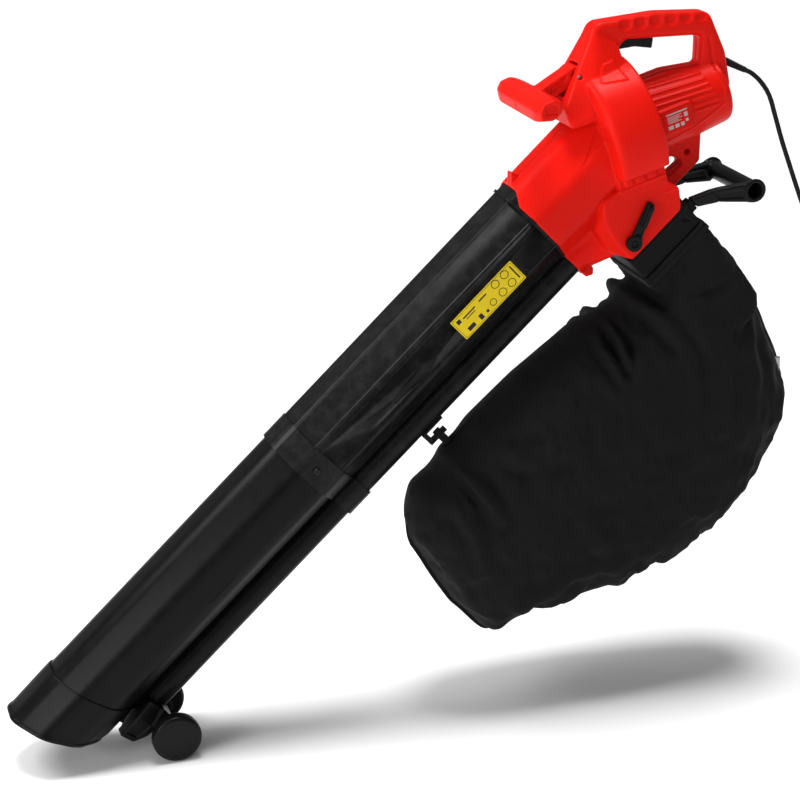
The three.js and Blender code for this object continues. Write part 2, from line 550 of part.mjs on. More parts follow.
function placeFrontGrip() {
  const { x, pivotX, pivotZ } = FRONT_GRIP;
  const whole = frontGrip();
  const near = cut(whole, box(x - 100, x + 200, -0.15, 200, 200, 600));
  const far = cut(whole, box(x - 100, x + 200, -200, 0.15, 200, 600));
  add(upright, 'front_grip_near', near, 'red');
  add(upright, 'front_grip_far', far, 'red');
  add(upright, 'front_grip_bolt', rodY(2.9, -24, 24, pivotX, pivotZ, 16), 'steel');
}

// ---- bag ----------------------------------------------------------------------------------------
function bagCollar() {
  const { front, rear, half, depth, wall } = COLLAR;
  const top = OUTLET.face - 2 * GAP;
  const outer = box(front, rear, -half, half, top - depth, top);
  const inner = box(front + wall + 4, rear - wall - 4, -half + wall, half - wall, top - depth - 1, top + 1);
  const root = (y0, y1) => box(rear - 2, rear + CARRY.root, y0, y1, top - 20, top - 3);
  return join(cut(outer, inner), root(-56, -40), root(40, 56));
}

// U-shaped carrying handle: two arms and a hollow crossbar with flared ends.
function carryHandle() {
  const { x, z, half, radius } = CARRY;
  const start = COLLAR.rear + CARRY.root + GAP;
  const across = (side, a, b, points) => points.flatMap(([px, pz]) => [[px, side * a, pz], [px, side * b, pz]]);
  const elbow = (side) => across(side, 45, 59, [[489, -136], [482, -154]]);
  const arm = (side) => join(
    hull([...across(side, 41, 55, [[start, -121], [start, -137]]), ...elbow(side)]),
    hull([...elbow(side), ...across(side, 51, half, [[x - 6, z + 20], [x + 3, z + 12], [x - 14, z - 8]])]),
  );
  const flare = (side) => moved(turned([[0, 0], [0, radius], [10, 16], [14, 16], [14, 0]], 24),
    new THREE.Matrix4().makeRotationZ((side * Math.PI) / 2).setPosition(x, side * (half - 14), z));
  const bore = (side) => (side < 0 ? rodY(9, -half - 1, -half + 40, x, z, 20) : rodY(9, half - 40, half + 1, x, z, 20));
  return cut(join(rodY(radius, -half + 1, half - 1, x, z, 24), arm(-1), arm(1), flare(-1), flare(1)), bore(-1), bore(1));
}

// The filled bag: its side view, with soft shoulders towards both flat sides.
const bagOutline = rounded([
  [306, 130, 6], [300, 108, 10], [250, 86, 20], [160, 20], [92, -40, 10], [58, -92, 12], [12, -124, 25],
  [2, -168, 30], [9, -203], [44, -262], [74, -308, 20], [106, -336], [130, -350, 10], [172, -340],
  [246, -331], [317, -319], [388, -292], [458, -254, 30], [518, -196, 30], [568, -95, 30],
  [571, -36, 40], [553, 16], [521, 85], [486, 142], [462, 170, 12], [440, 178, 6],
], 0, 2);

// The outline drawn again at several places across, smaller towards both flat sides, and skinned over.
function pillow(outline, centre, half) {
  const slices = [[-1, 0.42], [-0.9, 0.68], [-0.65, 0.87], [-0.3, 0.98], [0.3, 0.98], [0.65, 0.87], [0.9, 0.68],
    [1, 0.42]];
  const count = outline.length;
  const corner = (p, [across, size]) => [
    centre.x + (p.x - centre.x) * size, across * half, centre.z + (p.y - centre.z) * size];
  const points = slices.flatMap((slice) => outline.flatMap((p) => corner(p, slice)));
  const faces = [];
  for (let row = 0; row < slices.length - 1; row += 1) {
    for (let i = 0; i < count; i += 1) {
      const [a, b] = [row * count + i, row * count + ((i + 1) % count)];
      faces.push(a, b, b + count, a, b + count, a + count);
    }
  }
  const last = (slices.length - 1) * count;
  const caps = THREE.ShapeUtils.triangulateShape(outline, []);
  const forwards = THREE.ShapeUtils.isClockWise(outline);
  caps.forEach(([a, b, c]) => faces.push(...(forwards ? [a, b, c] : [a, c, b])));
  caps.forEach(([a, b, c]) => faces.push(...(forwards ? [c, b, a] : [b, c, a]).map((k) => last + k)));
  const g = new THREE.BufferGeometry();
  g.setAttribute('position', new THREE.Float32BufferAttribute(points, 3));
  g.setIndex(faces);
  return solid(g);
}

function bag() {
  const body = pillow(bagOutline, BAG_CENTRE, BAG_HALF);
  const t = OUTLET.face - 2 * GAP - COLLAR.depth - GAP;
  const neck = moved(hull(bothSides([
    [COLLAR.front - 1, COLLAR.half + 1, t], [COLLAR.rear + 1, COLLAR.half + 1, t],
    [COLLAR.front - 12, COLLAR.half - 4, t - 45], [COLLAR.rear - 2, COLLAR.half + 10, t - 60],
  ])), tubeMatrix);
  const aboveCollar = moved(box(200, 600, -200, 200, t, t + 200), tubeMatrix);
  return cut(join(body, neck), aboveCollar);
}

function buildBag() {
  add(tubes, 'bag_collar', bagCollar(), 'black');
  add(tubes, 'bag_carry_handle', carryHandle(), 'black');
  add(tubes, 'bag_latch', box(COLLAR.rear + GAP, COLLAR.rear + 7, -16, 16, -140, -122), 'black');
  add(upright, 'bag', bag(), 'fabric');
  const strap = hull(bothSides([[-3, 5, -122.4], [8, 5, -122.4], [-3, 5, -134], [8, 5, -134]]));
  add(tubes, 'bag_strap', strap, 'fabric');
}

// ---- cable --------------------------------------------------------------------------------------
// The cord leaves the strain relief downwards to the rear and hangs towards the lever side.
const cordRoute = [
  [483.6, 0, 412.9], [492, -2, 408.6], [503, -7, 398], [514, -13, 380], [522, -19, 352], [530, -27, 320],
  [539, -36, 288], [550, -47, 250], [563, -57, 210], [573, -63, 175], [578, -66, 140],
];

function buildCable() {
  const relief = new THREE.CylinderGeometry(3.9, 5.1, RELIEF.length, 12);
  relief.rotateZ(-Math.PI / 2).rotateY(RELIEF.dip).translate(RELIEF.x, 0, RELIEF.z);
  add(upright, 'strain_relief', solid(relief), 'rubber');
  const curve = new THREE.CatmullRomCurve3(cordRoute.map((p) => new THREE.Vector3(...p)));
  const section = new THREE.Shape().absarc(0, 0, CORD_DIAMETER / 2, 0, 2 * Math.PI, false);
  const tube = new THREE.ExtrudeGeometry(section, { extrudePath: curve, steps: 22, curveSegments: 5 });
  add(upright, 'power_cord', solid(tube), 'rubber');
  const [x, y, end] = cordRoute.at(-1);
  const z = end - 1; // the cord arrives a little askew
  const rod = (top, bottom, height, px, from) =>
    solid(new THREE.CylinderGeometry(top, bottom, height, 16).rotateX(Math.PI / 2).translate(px, y, from - height / 2));
  const seats = [-PLUG.pitch, PLUG.pitch].map((at) => rod(PLUG.pin + GAP, PLUG.pin + GAP, 8, x + at, z - 34));
  add(upright, 'plug', cut(rod(6, 17, 40, x, z - GAP), ...seats), 'rubber');
  [-PLUG.pitch, PLUG.pitch].forEach((at, i) => {
    add(upright, `plug_pin_${i + 1}`, rod(PLUG.pin, PLUG.pin, 25, x + at, z - 34 - 2 * GAP), 'copper');
  });
}

buildTubes();
buildWheels();
buildHousing();
buildMotor();
buildSwitch();
buildDiverter();
placeFrontGrip();
buildBag();
buildCable();

export default machine;
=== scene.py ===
"""Looks of the leaf vacuum mulcher: moulded shells, tubes, fabric bag, cable, floor, light and camera.

Lengths in the shape code are millimetres in the frames named below; objects are made in metres.
"""

import itertools
import json
import math

import bmesh
import bpy
import numpy as np
import openvdb
from mathutils import Matrix, Vector, noise
from mathutils.bvhtree import BVHTree

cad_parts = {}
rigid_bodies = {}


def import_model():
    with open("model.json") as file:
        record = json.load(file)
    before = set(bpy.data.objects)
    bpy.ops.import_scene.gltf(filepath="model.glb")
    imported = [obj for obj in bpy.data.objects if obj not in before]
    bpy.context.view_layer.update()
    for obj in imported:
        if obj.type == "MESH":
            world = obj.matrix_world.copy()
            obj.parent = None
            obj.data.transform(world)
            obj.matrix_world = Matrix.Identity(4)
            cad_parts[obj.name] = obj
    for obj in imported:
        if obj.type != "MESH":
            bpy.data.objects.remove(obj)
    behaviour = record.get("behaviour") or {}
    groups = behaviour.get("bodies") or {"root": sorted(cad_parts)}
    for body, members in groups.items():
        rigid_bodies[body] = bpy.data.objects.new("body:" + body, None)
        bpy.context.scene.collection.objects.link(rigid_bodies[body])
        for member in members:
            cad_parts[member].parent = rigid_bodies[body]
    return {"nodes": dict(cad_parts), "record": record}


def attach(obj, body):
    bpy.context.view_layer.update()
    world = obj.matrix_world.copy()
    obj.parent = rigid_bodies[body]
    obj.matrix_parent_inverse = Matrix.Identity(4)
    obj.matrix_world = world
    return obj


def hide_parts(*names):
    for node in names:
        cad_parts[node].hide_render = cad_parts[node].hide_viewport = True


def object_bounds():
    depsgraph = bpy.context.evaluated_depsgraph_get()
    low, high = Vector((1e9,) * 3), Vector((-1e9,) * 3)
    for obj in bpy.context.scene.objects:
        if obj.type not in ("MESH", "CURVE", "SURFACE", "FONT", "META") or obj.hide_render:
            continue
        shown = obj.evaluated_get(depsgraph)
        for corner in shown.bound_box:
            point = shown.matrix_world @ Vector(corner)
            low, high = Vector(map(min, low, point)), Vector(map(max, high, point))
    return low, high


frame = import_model()
CAD_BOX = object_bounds()
scene = bpy.context.scene
scene.view_settings.view_transform = "Standard"
MM = 0.001

# ---- frames: the datum frame is the row frame moved by the grip, the others turn about Y ----
GRIP = Vector((350, 0, 484))
TILT = math.radians(43.6)
DATUM = Matrix.Translation(-GRIP)
TUBE = DATUM @ Matrix.Translation((-28.6, 0, 30.1)) @ Matrix.Rotation(-TILT, 4, "Y")
MOTOR = DATUM @ Matrix.Translation((262, 0, 336)) @ Matrix.Rotation(-math.radians(17), 4, "Y")
CABLE = DATUM @ Matrix.Translation((462, 0, 422.8)) @ Matrix.Rotation(0.43, 4, "Y")

SIDES = (("near", -1), ("far", 1))

# dimensions that the CAD part is built with, in the frame that each piece is made in
FLATS, SOCKET, JOINT, BLOWER_Z, BLOWER_R = 115, 289, -121.5, -79.5, 20.5
LEVER, LEVER_TURN = (361.5, -98), math.radians(24)
GRIP_PIVOT = (234, 424)
WHEEL = (-531, -118.5, 33.5)
PLUG = (578, -66)
SOFT_CORNER = 34  # of the lower tube, its sleeve and the joint's skirt


def row(m, p):
    """A point of one of the frames, in metres in the row frame."""
    return (m @ Vector(p)) * MM


# ---- camera ----
CAMERA_AT = (-1.13736, -2.42325, 0.47371)  # in metres
LENS, SENSOR = 91.85, 36


def put(name, data):
    """A new object of the scene."""
    made = bpy.data.objects.new(name, data)
    scene.collection.objects.link(made)
    return made


def face(thing, at, target):
    """Puts a camera or lamp at a point and turns it towards another."""
    thing.location = at
    thing.rotation_euler = (target - thing.location).to_track_quat("-Z", "Y").to_euler()


def make_camera():
    data = bpy.data.cameras.new("camera")
    data.lens, data.sensor_width = LENS, SENSOR
    scene.camera = put("camera", data)
    face(scene.camera, CAMERA_AT, row(DATUM, (0, 0, 0)))


# ---- materials ----
class Nodes:
    """Shorthand for building a material's node tree."""

    def __init__(self, name):
        self.material = bpy.data.materials.new(name)
        self.material.use_nodes = True
        self.tree = self.material.node_tree
        self.shader = self.tree.nodes["Principled BSDF"]
        self.coords = self.tree.nodes.new("ShaderNodeTexCoord").outputs["Object"]

    def node(self, kind, inputs=None, **settings):
        made = self.tree.nodes.new("ShaderNode" + kind)
        for key, value in settings.items():
            setattr(made, key, value)
        for key, value in (inputs or {}).items():
            self.plug(value, made.inputs[key])
        return made

    def plug(self, value, socket):
        if isinstance(value, bpy.types.NodeSocket):
            self.tree.links.new(value, socket)
        else:
            socket.default_value = value

    def noise(self, scale, detail=3.0, rough=0.5, vector=None):
        return self.node("TexNoise", {"Vector": vector or self.coords, "Scale": scale, "Detail": detail,
                                      "Roughness": rough}).outputs["Fac"]

    def span(self, fac, low, high, start=0.3, end=0.7):
        return self.node("MapRange", {"Value": fac, "From Min": start, "From Max": end, "To Min": low,
                                      "To Max": high}).outputs["Result"]

    def mix(self, fac, a, b):
        made = self.node("Mix", data_type="RGBA")
        for value, k in ((fac, 0), (a, 6), (b, 7)):
            self.plug(value, made.inputs[k])
        return made.outputs[2]

    def maths(self, kind, a, b=0.0):
        made = self.node("Math", operation=kind)
        self.plug(a, made.inputs[0])
        self.plug(b, made.inputs[1])
        return made.outputs[0]

    def bump(self, height, strength, distance, normal=None):
        inputs = {"Height": height, "Strength": strength, "Distance": distance}
        if normal:
            inputs["Normal"] = normal
        return self.node("Bump", inputs).outputs["Normal"]

    def done(self, **shader):
        for key, value in shader.items():
            self.plug(value, self.shader.inputs[key.replace("_", " ")])
        return self.material


def moulded(name, colour, rough, grain=1500.0, depth=0.00003, spread=0.05, coat=0.0, wear=0.06,
            gloss=0.14):
    """Moulded plastic: fine spark-eroded grain, a slow mottle, faint scuffs and paler raised edges."""
    n = Nodes(name)
    mottle = n.noise(9.0, 4.0)
    scuffs = n.noise(60.0, 8.0, 0.7)
    rim = n.span(n.node("NewGeometry").outputs["Pointiness"], 0.0, 1.0, 0.53, 0.62)
    pale = tuple(min(1.0, c * 1.35 + 0.02) for c in colour)
    dark = tuple(c * 0.86 for c in colour)
    body = n.mix(n.span(mottle, 0.0, 1.0), (*dark, 1), (*colour, 1))
    worn = n.mix(n.maths("MULTIPLY", rim, n.span(scuffs, 0.0, wear * 6, 0.45, 0.7)), body, (*pale, 1))
    roughness = n.maths("ADD", n.span(scuffs, rough - spread, rough + spread), n.span(mottle, -0.03, 0.03))
    normal = n.bump(n.noise(grain, 2.0), 0.5, depth)
    return n.done(Base_Color=worn, Roughness=roughness, Normal=normal, Coat_Weight=coat,
                  Coat_Roughness=0.25, Specular_IOR_Level=gloss)


def metal(name, colour, rough, stretch=(1, 1, 1)):
    """Machined metal with fine tool marks."""
    n = Nodes(name)
    along = n.node("Mapping", {"Vector": n.coords, "Scale": stretch}).outputs["Vector"]
    marks = n.noise(900.0, 3.0, 0.6, along)
    body = n.mix(n.span(n.noise(40.0, 5.0), 0.0, 1.0), tuple(c * 0.82 for c in colour) + (1,), (*colour, 1))
    return n.done(Base_Color=body, Metallic=1.0, Roughness=n.span(marks, rough - 0.08, rough + 0.1),
                  Normal=n.bump(marks, 0.3, 0.00004))


def woven(name, colour, pitch=0.0009, angle=0.3, sheen=0.25, rough=0.82):
    """Plain weave of two thread directions that shows on every side of a rounded form."""
    n = Nodes(name)
    turned = n.node("Mapping", {"Vector": n.coords, "Rotation": (0.0, angle, 0.0)}).outputs["Vector"]
    x, y, z = (n.node("SeparateXYZ", {"Vector": turned}).outputs[k] for k in range(3))
    side = n.maths("MULTIPLY", y, 0.8)
    turns = 2 * math.pi / pitch
    threads = [n.maths("SINE", n.maths("MULTIPLY", n.maths("ADD", a, side), turns)) for a in (x, z)]
    over = n.maths("MULTIPLY", threads[0], threads[1])
    cloth = n.maths("ADD", n.maths("MULTIPLY", over, 0.5), n.maths("MULTIPLY", n.noise(700.0), 0.5))
    slow = n.noise(14.0, 5.0, 0.6)
    dark = tuple(c * 0.7 for c in colour)
    body = n.mix(n.span(slow, 0.0, 1.0), (*dark, 1), (*colour, 1))
    bright = tuple(c * 2.2 for c in colour)
    lint = n.mix(n.span(n.noise(420.0, 2.0), 0.0, 0.5, 0.62, 0.75), body, (*bright, 1))
    creases = n.bump(n.noise(38.0, 4.0, 0.55), 0.6, 0.0035)
    return n.done(Base_Color=lint, Roughness=n.span(slow, rough - 0.05, rough + 0.06),
                  Normal=n.bump(cloth, 0.6, 0.00018, creases), Sheen_Weight=sheen, Sheen_Roughness=0.45,
                  Specular_IOR_Level=0.08)


def look(kind, *values, **named):
    """A material of one kind, made once its name is known."""
    return lambda name: kind(name, *values, **named)


STICKER = {"grain": 2500.0, "depth": 0.00001, "spread": 0.03}
LOOKS = {
    "red_plastic": look(moulded, (0.72, 0.0085, 0.004), 0.37, gloss=0.07),
    "black_plastic": look(moulded, (0.0052, 0.0053, 0.0056), 0.33, spread=0.02, gloss=0.11),
    # painted shade: the same black plastic made darker for the lower tube and sleeve, to stand in for how the
    # light falls on them
    "deep_black": look(moulded, (0.0032, 0.0032, 0.0034), 0.34, spread=0.02, gloss=0.09),
    "matt_black": look(moulded, (0.0062, 0.006, 0.0062), 0.62, grain=700.0, depth=0.00008, gloss=0.08),
    "rubber": look(moulded, (0.010, 0.010, 0.0105), 0.5, grain=900.0, depth=0.00004),
    "fabric": look(woven, (0.0085, 0.008, 0.0083), sheen=0.02),
    "webbing": look(woven, (0.009, 0.009, 0.009), pitch=0.0016, angle=0.76, sheen=0.05),
    "steel": look(metal, (0.42, 0.43, 0.45), 0.3, stretch=(1, 8, 1)),
    "screw_steel": look(metal, (0.36, 0.36, 0.38), 0.34),
    "aluminium": look(metal, (0.6, 0.61, 0.62), 0.42),
    "copper": look(metal, (0.66, 0.33, 0.16), 0.35),
    "yellow_label": look(moulded, (0.74, 0.55, 0.002), 0.42, coat=0.2, wear=0.0, **STICKER),
    "silver_label": look(moulded, (0.5, 0.5, 0.5), 0.4, coat=0.2, wear=0.0, **STICKER),
    "black_screw": look(metal, (0.03, 0.03, 0.032), 0.4),
    "label_ink": look(moulded, (0.02, 0.02, 0.02), 0.5, coat=0.0, wear=0.0, **STICKER),
}
MATERIALS = {name: make(name) for name, make in LOOKS.items()}

# each CAD node's material slot and the body that it rides on, from the record; looks
# that take another look's slot in the record
SLOT_OF = {part["node"]: part["material_slot"] for part in frame["record"]["subparts"]}
BODY_OF = {node: body for body, nodes in frame["record"]["behaviour"]["bodies"].items() for node in nodes}


def dress_cad():
    """Gives the CAD nodes that stay visible the look of their slot."""
    for name, node in frame["nodes"].items():
        node.data.materials.clear()
        node.data.materials.append(MATERIALS[SLOT_OF[name]])


# ---- making objects ----
def face_outward(mesh, weld=False):
    """Turns a closed mesh's faces outward, after welding its double points if asked."""
    bm = bmesh.new()
    bm.from_mesh(mesh)
    if weld:
        bmesh.ops.remove_doubles(bm, verts=bm.verts, dist=1e-6)
        bmesh.ops.recalc_face_normals(bm, faces=bm.faces)
    if bm.calc_volume(signed=True) < 0:
        bmesh.ops.reverse_faces(bm, faces=bm.faces)
    bm.to_mesh(mesh)
    bm.free()


def place(name, points, faces, slot, body, replaces=()):
    """A new piece from points in row-frame millimetres, riding on a body."""
    mesh = bpy.data.meshes.new(name)
    mesh.from_pydata(np.asarray(points, float) * MM, [], faces)
    mesh.validate()
    face_outward(mesh)
    mesh.shade_smooth()
    piece = put(name, mesh)
    finish_piece(piece, slot, body, replaces)
    return piece


def finish_piece(piece, slot, body, replaces=()):
    """Material and body of a piece, and the CAD nodes that it stands for."""
    piece.data.materials.clear()
    piece.data.materials.append(MATERIALS[slot])
    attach(piece, body)
    if replaces:
        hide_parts(*replaces)


def apply_modifiers(piece):
    depsgraph = bpy.context.evaluated_depsgraph_get()
    made = bpy.data.meshes.new_from_object(piece.evaluated_get(depsgraph))
    piece.modifiers.clear()
    piece.data = made


def soften(piece, times):
    smooth = piece.modifiers.new("soften", "SMOOTH")
    smooth.factor, smooth.iterations = 0.5, times
    apply_modifiers(piece)


MOST_TRIANGLES = 170000


def thin_out(piece):
    """Keeps a piece's triangles below the export's limit."""
    triangles = sum(len(p.vertices) - 2 for p in piece.data.polygons)
    if triangles > MOST_TRIANGLES:
        piece.modifiers.new("fewer", "DECIMATE").ratio = MOST_TRIANGLES / triangles
        apply_modifiers(piece)


def rectangle(u0, u1, v0, v1):
    return [(u0, v0), (u1, v0), (u1, v1), (u0, v1)]


def pair(side, a, b):
    """Two distances from the middle plane, as a stretch of Y on one side of it."""
    return sorted((side * a, side * b))


def rounded(corners, radius=0.0, steps=5):
    """Corners [u, v] or [u, v, radius] rounded by short curves."""
    out = []
    count = len(corners)
    for i, corner in enumerate(corners):
        at = Vector(corner[:2])
        r = corner[2] if len(corner) > 2 else radius
        if not r:
            out.append(tuple(at))
            continue
        before = Vector(corners[i - 1][:2]) - at
        after = Vector(corners[(i + 1) % count][:2]) - at
        reach = min(r / math.tan(before.angle(after) / 2), before.length * 0.49, after.length * 0.49)
        a, b = at + before.normalized() * reach, at + after.normalized() * reach
        for k in range(steps + 1):
            t = k / steps
            out.append(tuple(a * (1 - t) ** 2 + at * (2 * t * (1 - t)) + b * t * t))
    return out


# ---- solid forms as distance fields ----
def polygon_distance(outline, x, z):
    """Signed distance to a closed outline, negative inside."""
    best = np.full(np.broadcast(x, z).shape, 1e9, np.float32)
    inside = np.zeros(best.shape, bool)
    pts = np.asarray(outline, np.float32)
    for (ax, az), (bx, bz) in zip(pts, np.roll(pts, -1, axis=0)):
        ex, ez = bx - ax, bz - az
        wx, wz = x - ax, z - az
        t = np.clip((wx * ex + wz * ez) / (ex * ex + ez * ez), 0, 1)
        best = np.minimum(best, (wx - t * ex) ** 2 + (wz - t * ez) ** 2)
        if az != bz:
            crosses = ((az > z) != (bz > z)) & (x < ex * (z - az) / ez + ax)
            inside ^= crosses
    return np.where(inside, -1, 1).astype(np.float32) * np.sqrt(best)


def both(a, b, r):
    """Two limits combined into one solid whose shared edge is rounded by r."""
    a, b = a + r, b + r
    return np.hypot(np.maximum(a, 0), np.maximum(b, 0)) + np.minimum(np.maximum(a, b), 0) - r


def between(a, low, high):
    """How far outside a stretch of one axis a value lies, negative inside."""
    return np.abs(a - (low + high) / 2) - (high - low) / 2


def slab(outline, y0, y1, r, holes=()):
    """An outline in XZ, with holes, as a plate from y0 to y1 with edges rounded by r."""
    pts = np.asarray(outline)
    low, high = (pts[:, 0].min(), y0, pts[:, 1].min()), (pts[:, 0].max(), y1, pts[:, 1].max())

    def distance(x, y, z):
        flat = polygon_distance(outline, x, z)
        for hole in holes:
            flat = np.maximum(flat, -polygon_distance(hole, x, z))
        return both(flat, between(y, y0, y1), r)
    return low, high, distance


def lathe(profile):
    """A closed [x, radius] profile that starts and ends on the X axis, turned about it."""
    outline = list(profile) + [(x, -r) for x, r in reversed(profile) if r > 0]
    pts = np.asarray(profile)
    reach = pts[:, 1].max()
    low, high = (pts[:, 0].min(), -reach, -reach), (pts[:, 0].max(), reach, reach)
    return low, high, lambda x, y, z: polygon_distance(outline, x, np.hypot(y, z))


def rod_x(radius, x0, x1, y=0.0, z=0.0, r=0.8):
    return ((x0, y - radius, z - radius), (x1, y + radius, z + radius),
            lambda X, Y, Z: both(np.hypot(Y - y, Z - z) - radius, between(X, x0, x1), r))


def rod_y(radius, y0, y1, x, z, r=0.8):
    return ((x - radius, y0, z - radius), (x + radius, y1, z + radius),
            lambda X, Y, Z: both(np.hypot(X - x, Z - z) - radius, between(Y, y0, y1), r))


def block(x0, x1, y0, y1, z0, z1, r=1.0):
    return slab(rectangle(x0, x1, z0, z1), y0, y1, r)


def octagon_distance(y, z, flats, corner):
    across = flats / 2 - corner
    y, z = np.abs(y), np.abs(z)
    low, high = np.minimum(y, z), np.maximum(y, z)
    diagonal = (low + high) * math.sqrt(0.5)
    half = across * math.tan(math.pi / 8)
    near_flat = np.hypot(np.maximum(high - across, 0), np.maximum(low - half, 0))
    along = (high - low) * math.sqrt(0.5)
    near_slope = np.hypot(np.maximum(diagonal - across, 0), np.maximum(along - half, 0))
    inside = np.maximum(high, diagonal) - across
    outside = np.where(diagonal > high, near_slope, near_flat)
    return np.where(inside > 0, np.maximum(outside, inside), inside) - corner


def octagon_bar(flats, x0, x1, corner, r):
    reach = flats / 2
    return ((x0, -reach, -reach), (x1, reach, reach),
            lambda x, y, z: both(octagon_distance(y, z, flats, corner), between(x, x0, x1), r))


def hull(points, k):
    """The convex form round some points, its edges softened over k."""
    bm = bmesh.new()
    for p in points:
        bm.verts.new(p)
    made = bmesh.ops.convex_hull(bm, input=bm.verts)
    faces = [f for f in made["geom"] if isinstance(f, bmesh.types.BMFace)]
    middle = sum((Vector(p) for p in points), Vector()) / len(points)
    planes = []
    for face in faces:
        face.normal_update()
        n = face.normal.copy()
        c = face.calc_center_median()
        if n.dot(c - middle) < 0:
            n.negate()
        if face.calc_area() > 1e-6 and not any(n.dot(m) > 0.9999 for m, _ in planes):
            planes.append((n, n.dot(c)))
    bm.free()
    pts = np.asarray(points)

    def distance(x, y, z):
        best = None
        for n, c in planes:
            d = (n.x * x + n.z * z - c) + n.y * y
            best = d if best is None else soft_max(best, d, k)
        return best
    return tuple(pts.min(axis=0)), tuple(pts.max(axis=0)), distance


def wedge(points, k):
    """The convex form round some points and their mirror images in the middle plane."""
    return hull([(x, side * y, z) for x, y, z in points for side in (-1, 1)], k)


def soft_min(a, b, k):
    if k <= 0:
        return np.minimum(a, b)
    h = np.clip(0.5 + 0.5 * (b - a) / k, 0, 1)
    return b + (a - b) * h - k * h * (1 - h)


def soft_max(a, b, k):
    return -soft_min(-a, -b, k)


class Form:
    """A body built up in a box of one frame by adding and cutting forms given in any frame."""

    def __init__(self, home, low, high, step):
        self.home, self.step = home, step
        self.axes = [np.arange(a, b + step, step, dtype=np.float32) for a, b in zip(low, high)]
        self.d = np.full([len(a) for a in self.axes], 50.0, np.float32)

    def part(self, shape, where, margin):
        """The cells round a shape, and the shape's distance in them."""
        low, high, distance = shape
        there = self.home.inverted() @ where
        corners = np.array([there @ Vector(c) for c in itertools.product(*zip(low, high))])
        cells = []
        for k, axis in enumerate(self.axes):
            first = int((corners[:, k].min() - margin - axis[0]) / self.step)
            last = int((corners[:, k].max() + margin - axis[0]) / self.step) + 2
            cells.append(slice(max(first, 0), max(min(last, len(axis)), 0)))
        cells = tuple(cells)
        X, Y, Z = (self.axes[k][cells[k]].reshape([-1 if i == k else 1 for i in range(3)]) for k in range(3))
        back = where.inverted() @ self.home
        x = back[0][0] * X + back[0][2] * Z + back[0][3]
        z = back[2][0] * X + back[2][2] * Z + back[2][3]
        return cells, distance(x, Y + 0 * x[:1, :, :1], z)

    def add(self, shape, where=None, k=0.0, combine=soft_min):
        """Adds a shape, the edge between them softened over k."""
        cells, d = self.part(shape, where or self.home, k + 4 * self.step)
        self.d[cells] = combine(self.d[cells], d, k)
        return self

    def cut(self, shape, where=None, k=0.0):
        return self.add(shape, where, k, lambda old, d, k: soft_max(old, -d, k))

    def emboss(self, shape, height, where=None):
        """Raises the surface inside a shape, or sinks it where the height is negative."""
        cells, d = self.part(shape, where or self.home, 4 * self.step)
        old = self.d[cells]
        if height > 0:
            self.d[cells] = np.minimum(old, soft_max(d, old - height, 0.8))
        else:
            self.d[cells] = np.maximum(old, soft_min(-d, old - height, 0.8))

    def half(self, side, k=1.0):
        """The part of the body on one side of the middle plane, its edge eased."""
        made = Form.__new__(Form)
        made.home, made.step, made.axes = self.home, self.step, self.axes
        made.d = soft_max(self.d, 0.15 - side * self.axes[1].reshape(1, -1, 1), k)
        return made

    def surface(self):
        """Points and faces of the body's surface, in the row frame."""
        band = 3 * self.step
        grid = openvdb.FloatGrid(band)
        grid.copyFromArray(np.clip(self.d, -band, band).astype(np.float32))
        points, triangles, quads = grid.convertToPolygons(isovalue=0.0, adaptivity=0.0)
        points = points * self.step + np.array([a[0] for a in self.axes])
        m = np.array(self.home)
        points = points @ m[:3, :3].T + m[:3, 3]
        return points, [tuple(f) for f in triangles.tolist()] + [tuple(f) for f in quads.tolist()]

    def piece(self, name, slot, body, replaces=(), times=2):
        """The body's surface as a visible piece, softened some times."""
        made = place(name, *self.surface(), slot, body, replaces)
        soften(made, times)
        thin_out(made)
        made.data.shade_smooth()


# ---- housing ----
# outlines in XZ: the outlet chamber and its cavity in the tube frame, the others in the datum frame;
# the pillar's and the spine's points also have a half width
OUTLET = rounded([(345, -116.5), (438, -116.5), (456, -91), (441, -50), (396, -31), (366, -27), (338, -52),
                  (331, -92)], 2.5)
CHAMBER = [(348, -121.5), (435, -121.5), (435, -116.5), (452, -91), (438, -54), (400, -50), (392, -63.5),
           (341, -63.5), (335, -92), (348, -116.5)]
HANDLE = rounded([(236, 372), (240, 440, 30), (257, 490, 16), (345, 498.5, 60), (420, 496.5, 18),
                  (446, 443, 20), (456, 400, 20), (452, 372), (330, 372)])
WINDOW = rounded([(290, 452, 6), (303, 466, 8), (409, 466, 8), (409, 428, 6), (360, 423), (324, 412, 6),
                  (301, 424, 6)])
LOOP = rounded([(417, 340), (417, 298, 8), (384, 267, 6), (356, 256), (350, 285), (372, 340)])
LOOP_WINDOW = rounded([(361, 305), (370, 278, 3), (393, 296, 4), (379, 306, 3)])
PILLAR = [(257, 15, 484), (288, 15, 470), (299, 17, 424), (303, 54, 398), (300, 50, 380), (211, 36, 384),
          (216, 50, 362), (250, 58, 380)]
SPINE = [(225, 30, 418), (232, 22, 436), (211, 30, 384), (257, 12, 484), (270, 14, 470), (290, 30, 400),
         (250, 40, 380)]
SCREWS = [(270, 392, 54), (266, 479, 13), (432, 452, 14), (384, 276, 9)]
OUTLET_HALF, SOCKET_FLATS, DUCT_END = 64, 122, 470
FINE = 1.4  # the housing's grid step, in mm


def fan_profile(inset, edge):
    """The fan casing's profile, or its cavity's where there is an inset."""
    far = 68 - inset
    return rounded([(inset, 0), (inset, 95 - inset, edge), (far, 95 - inset, min(edge, 4)), (far, 0)])


def motor_profile(inset, end):
    """The motor casing's profile, or its cavity's."""
    return rounded([(62, 0), (62, 52 - inset), (141, 48 - inset, 6), (end, 44 - inset, 8), (end, 0)])


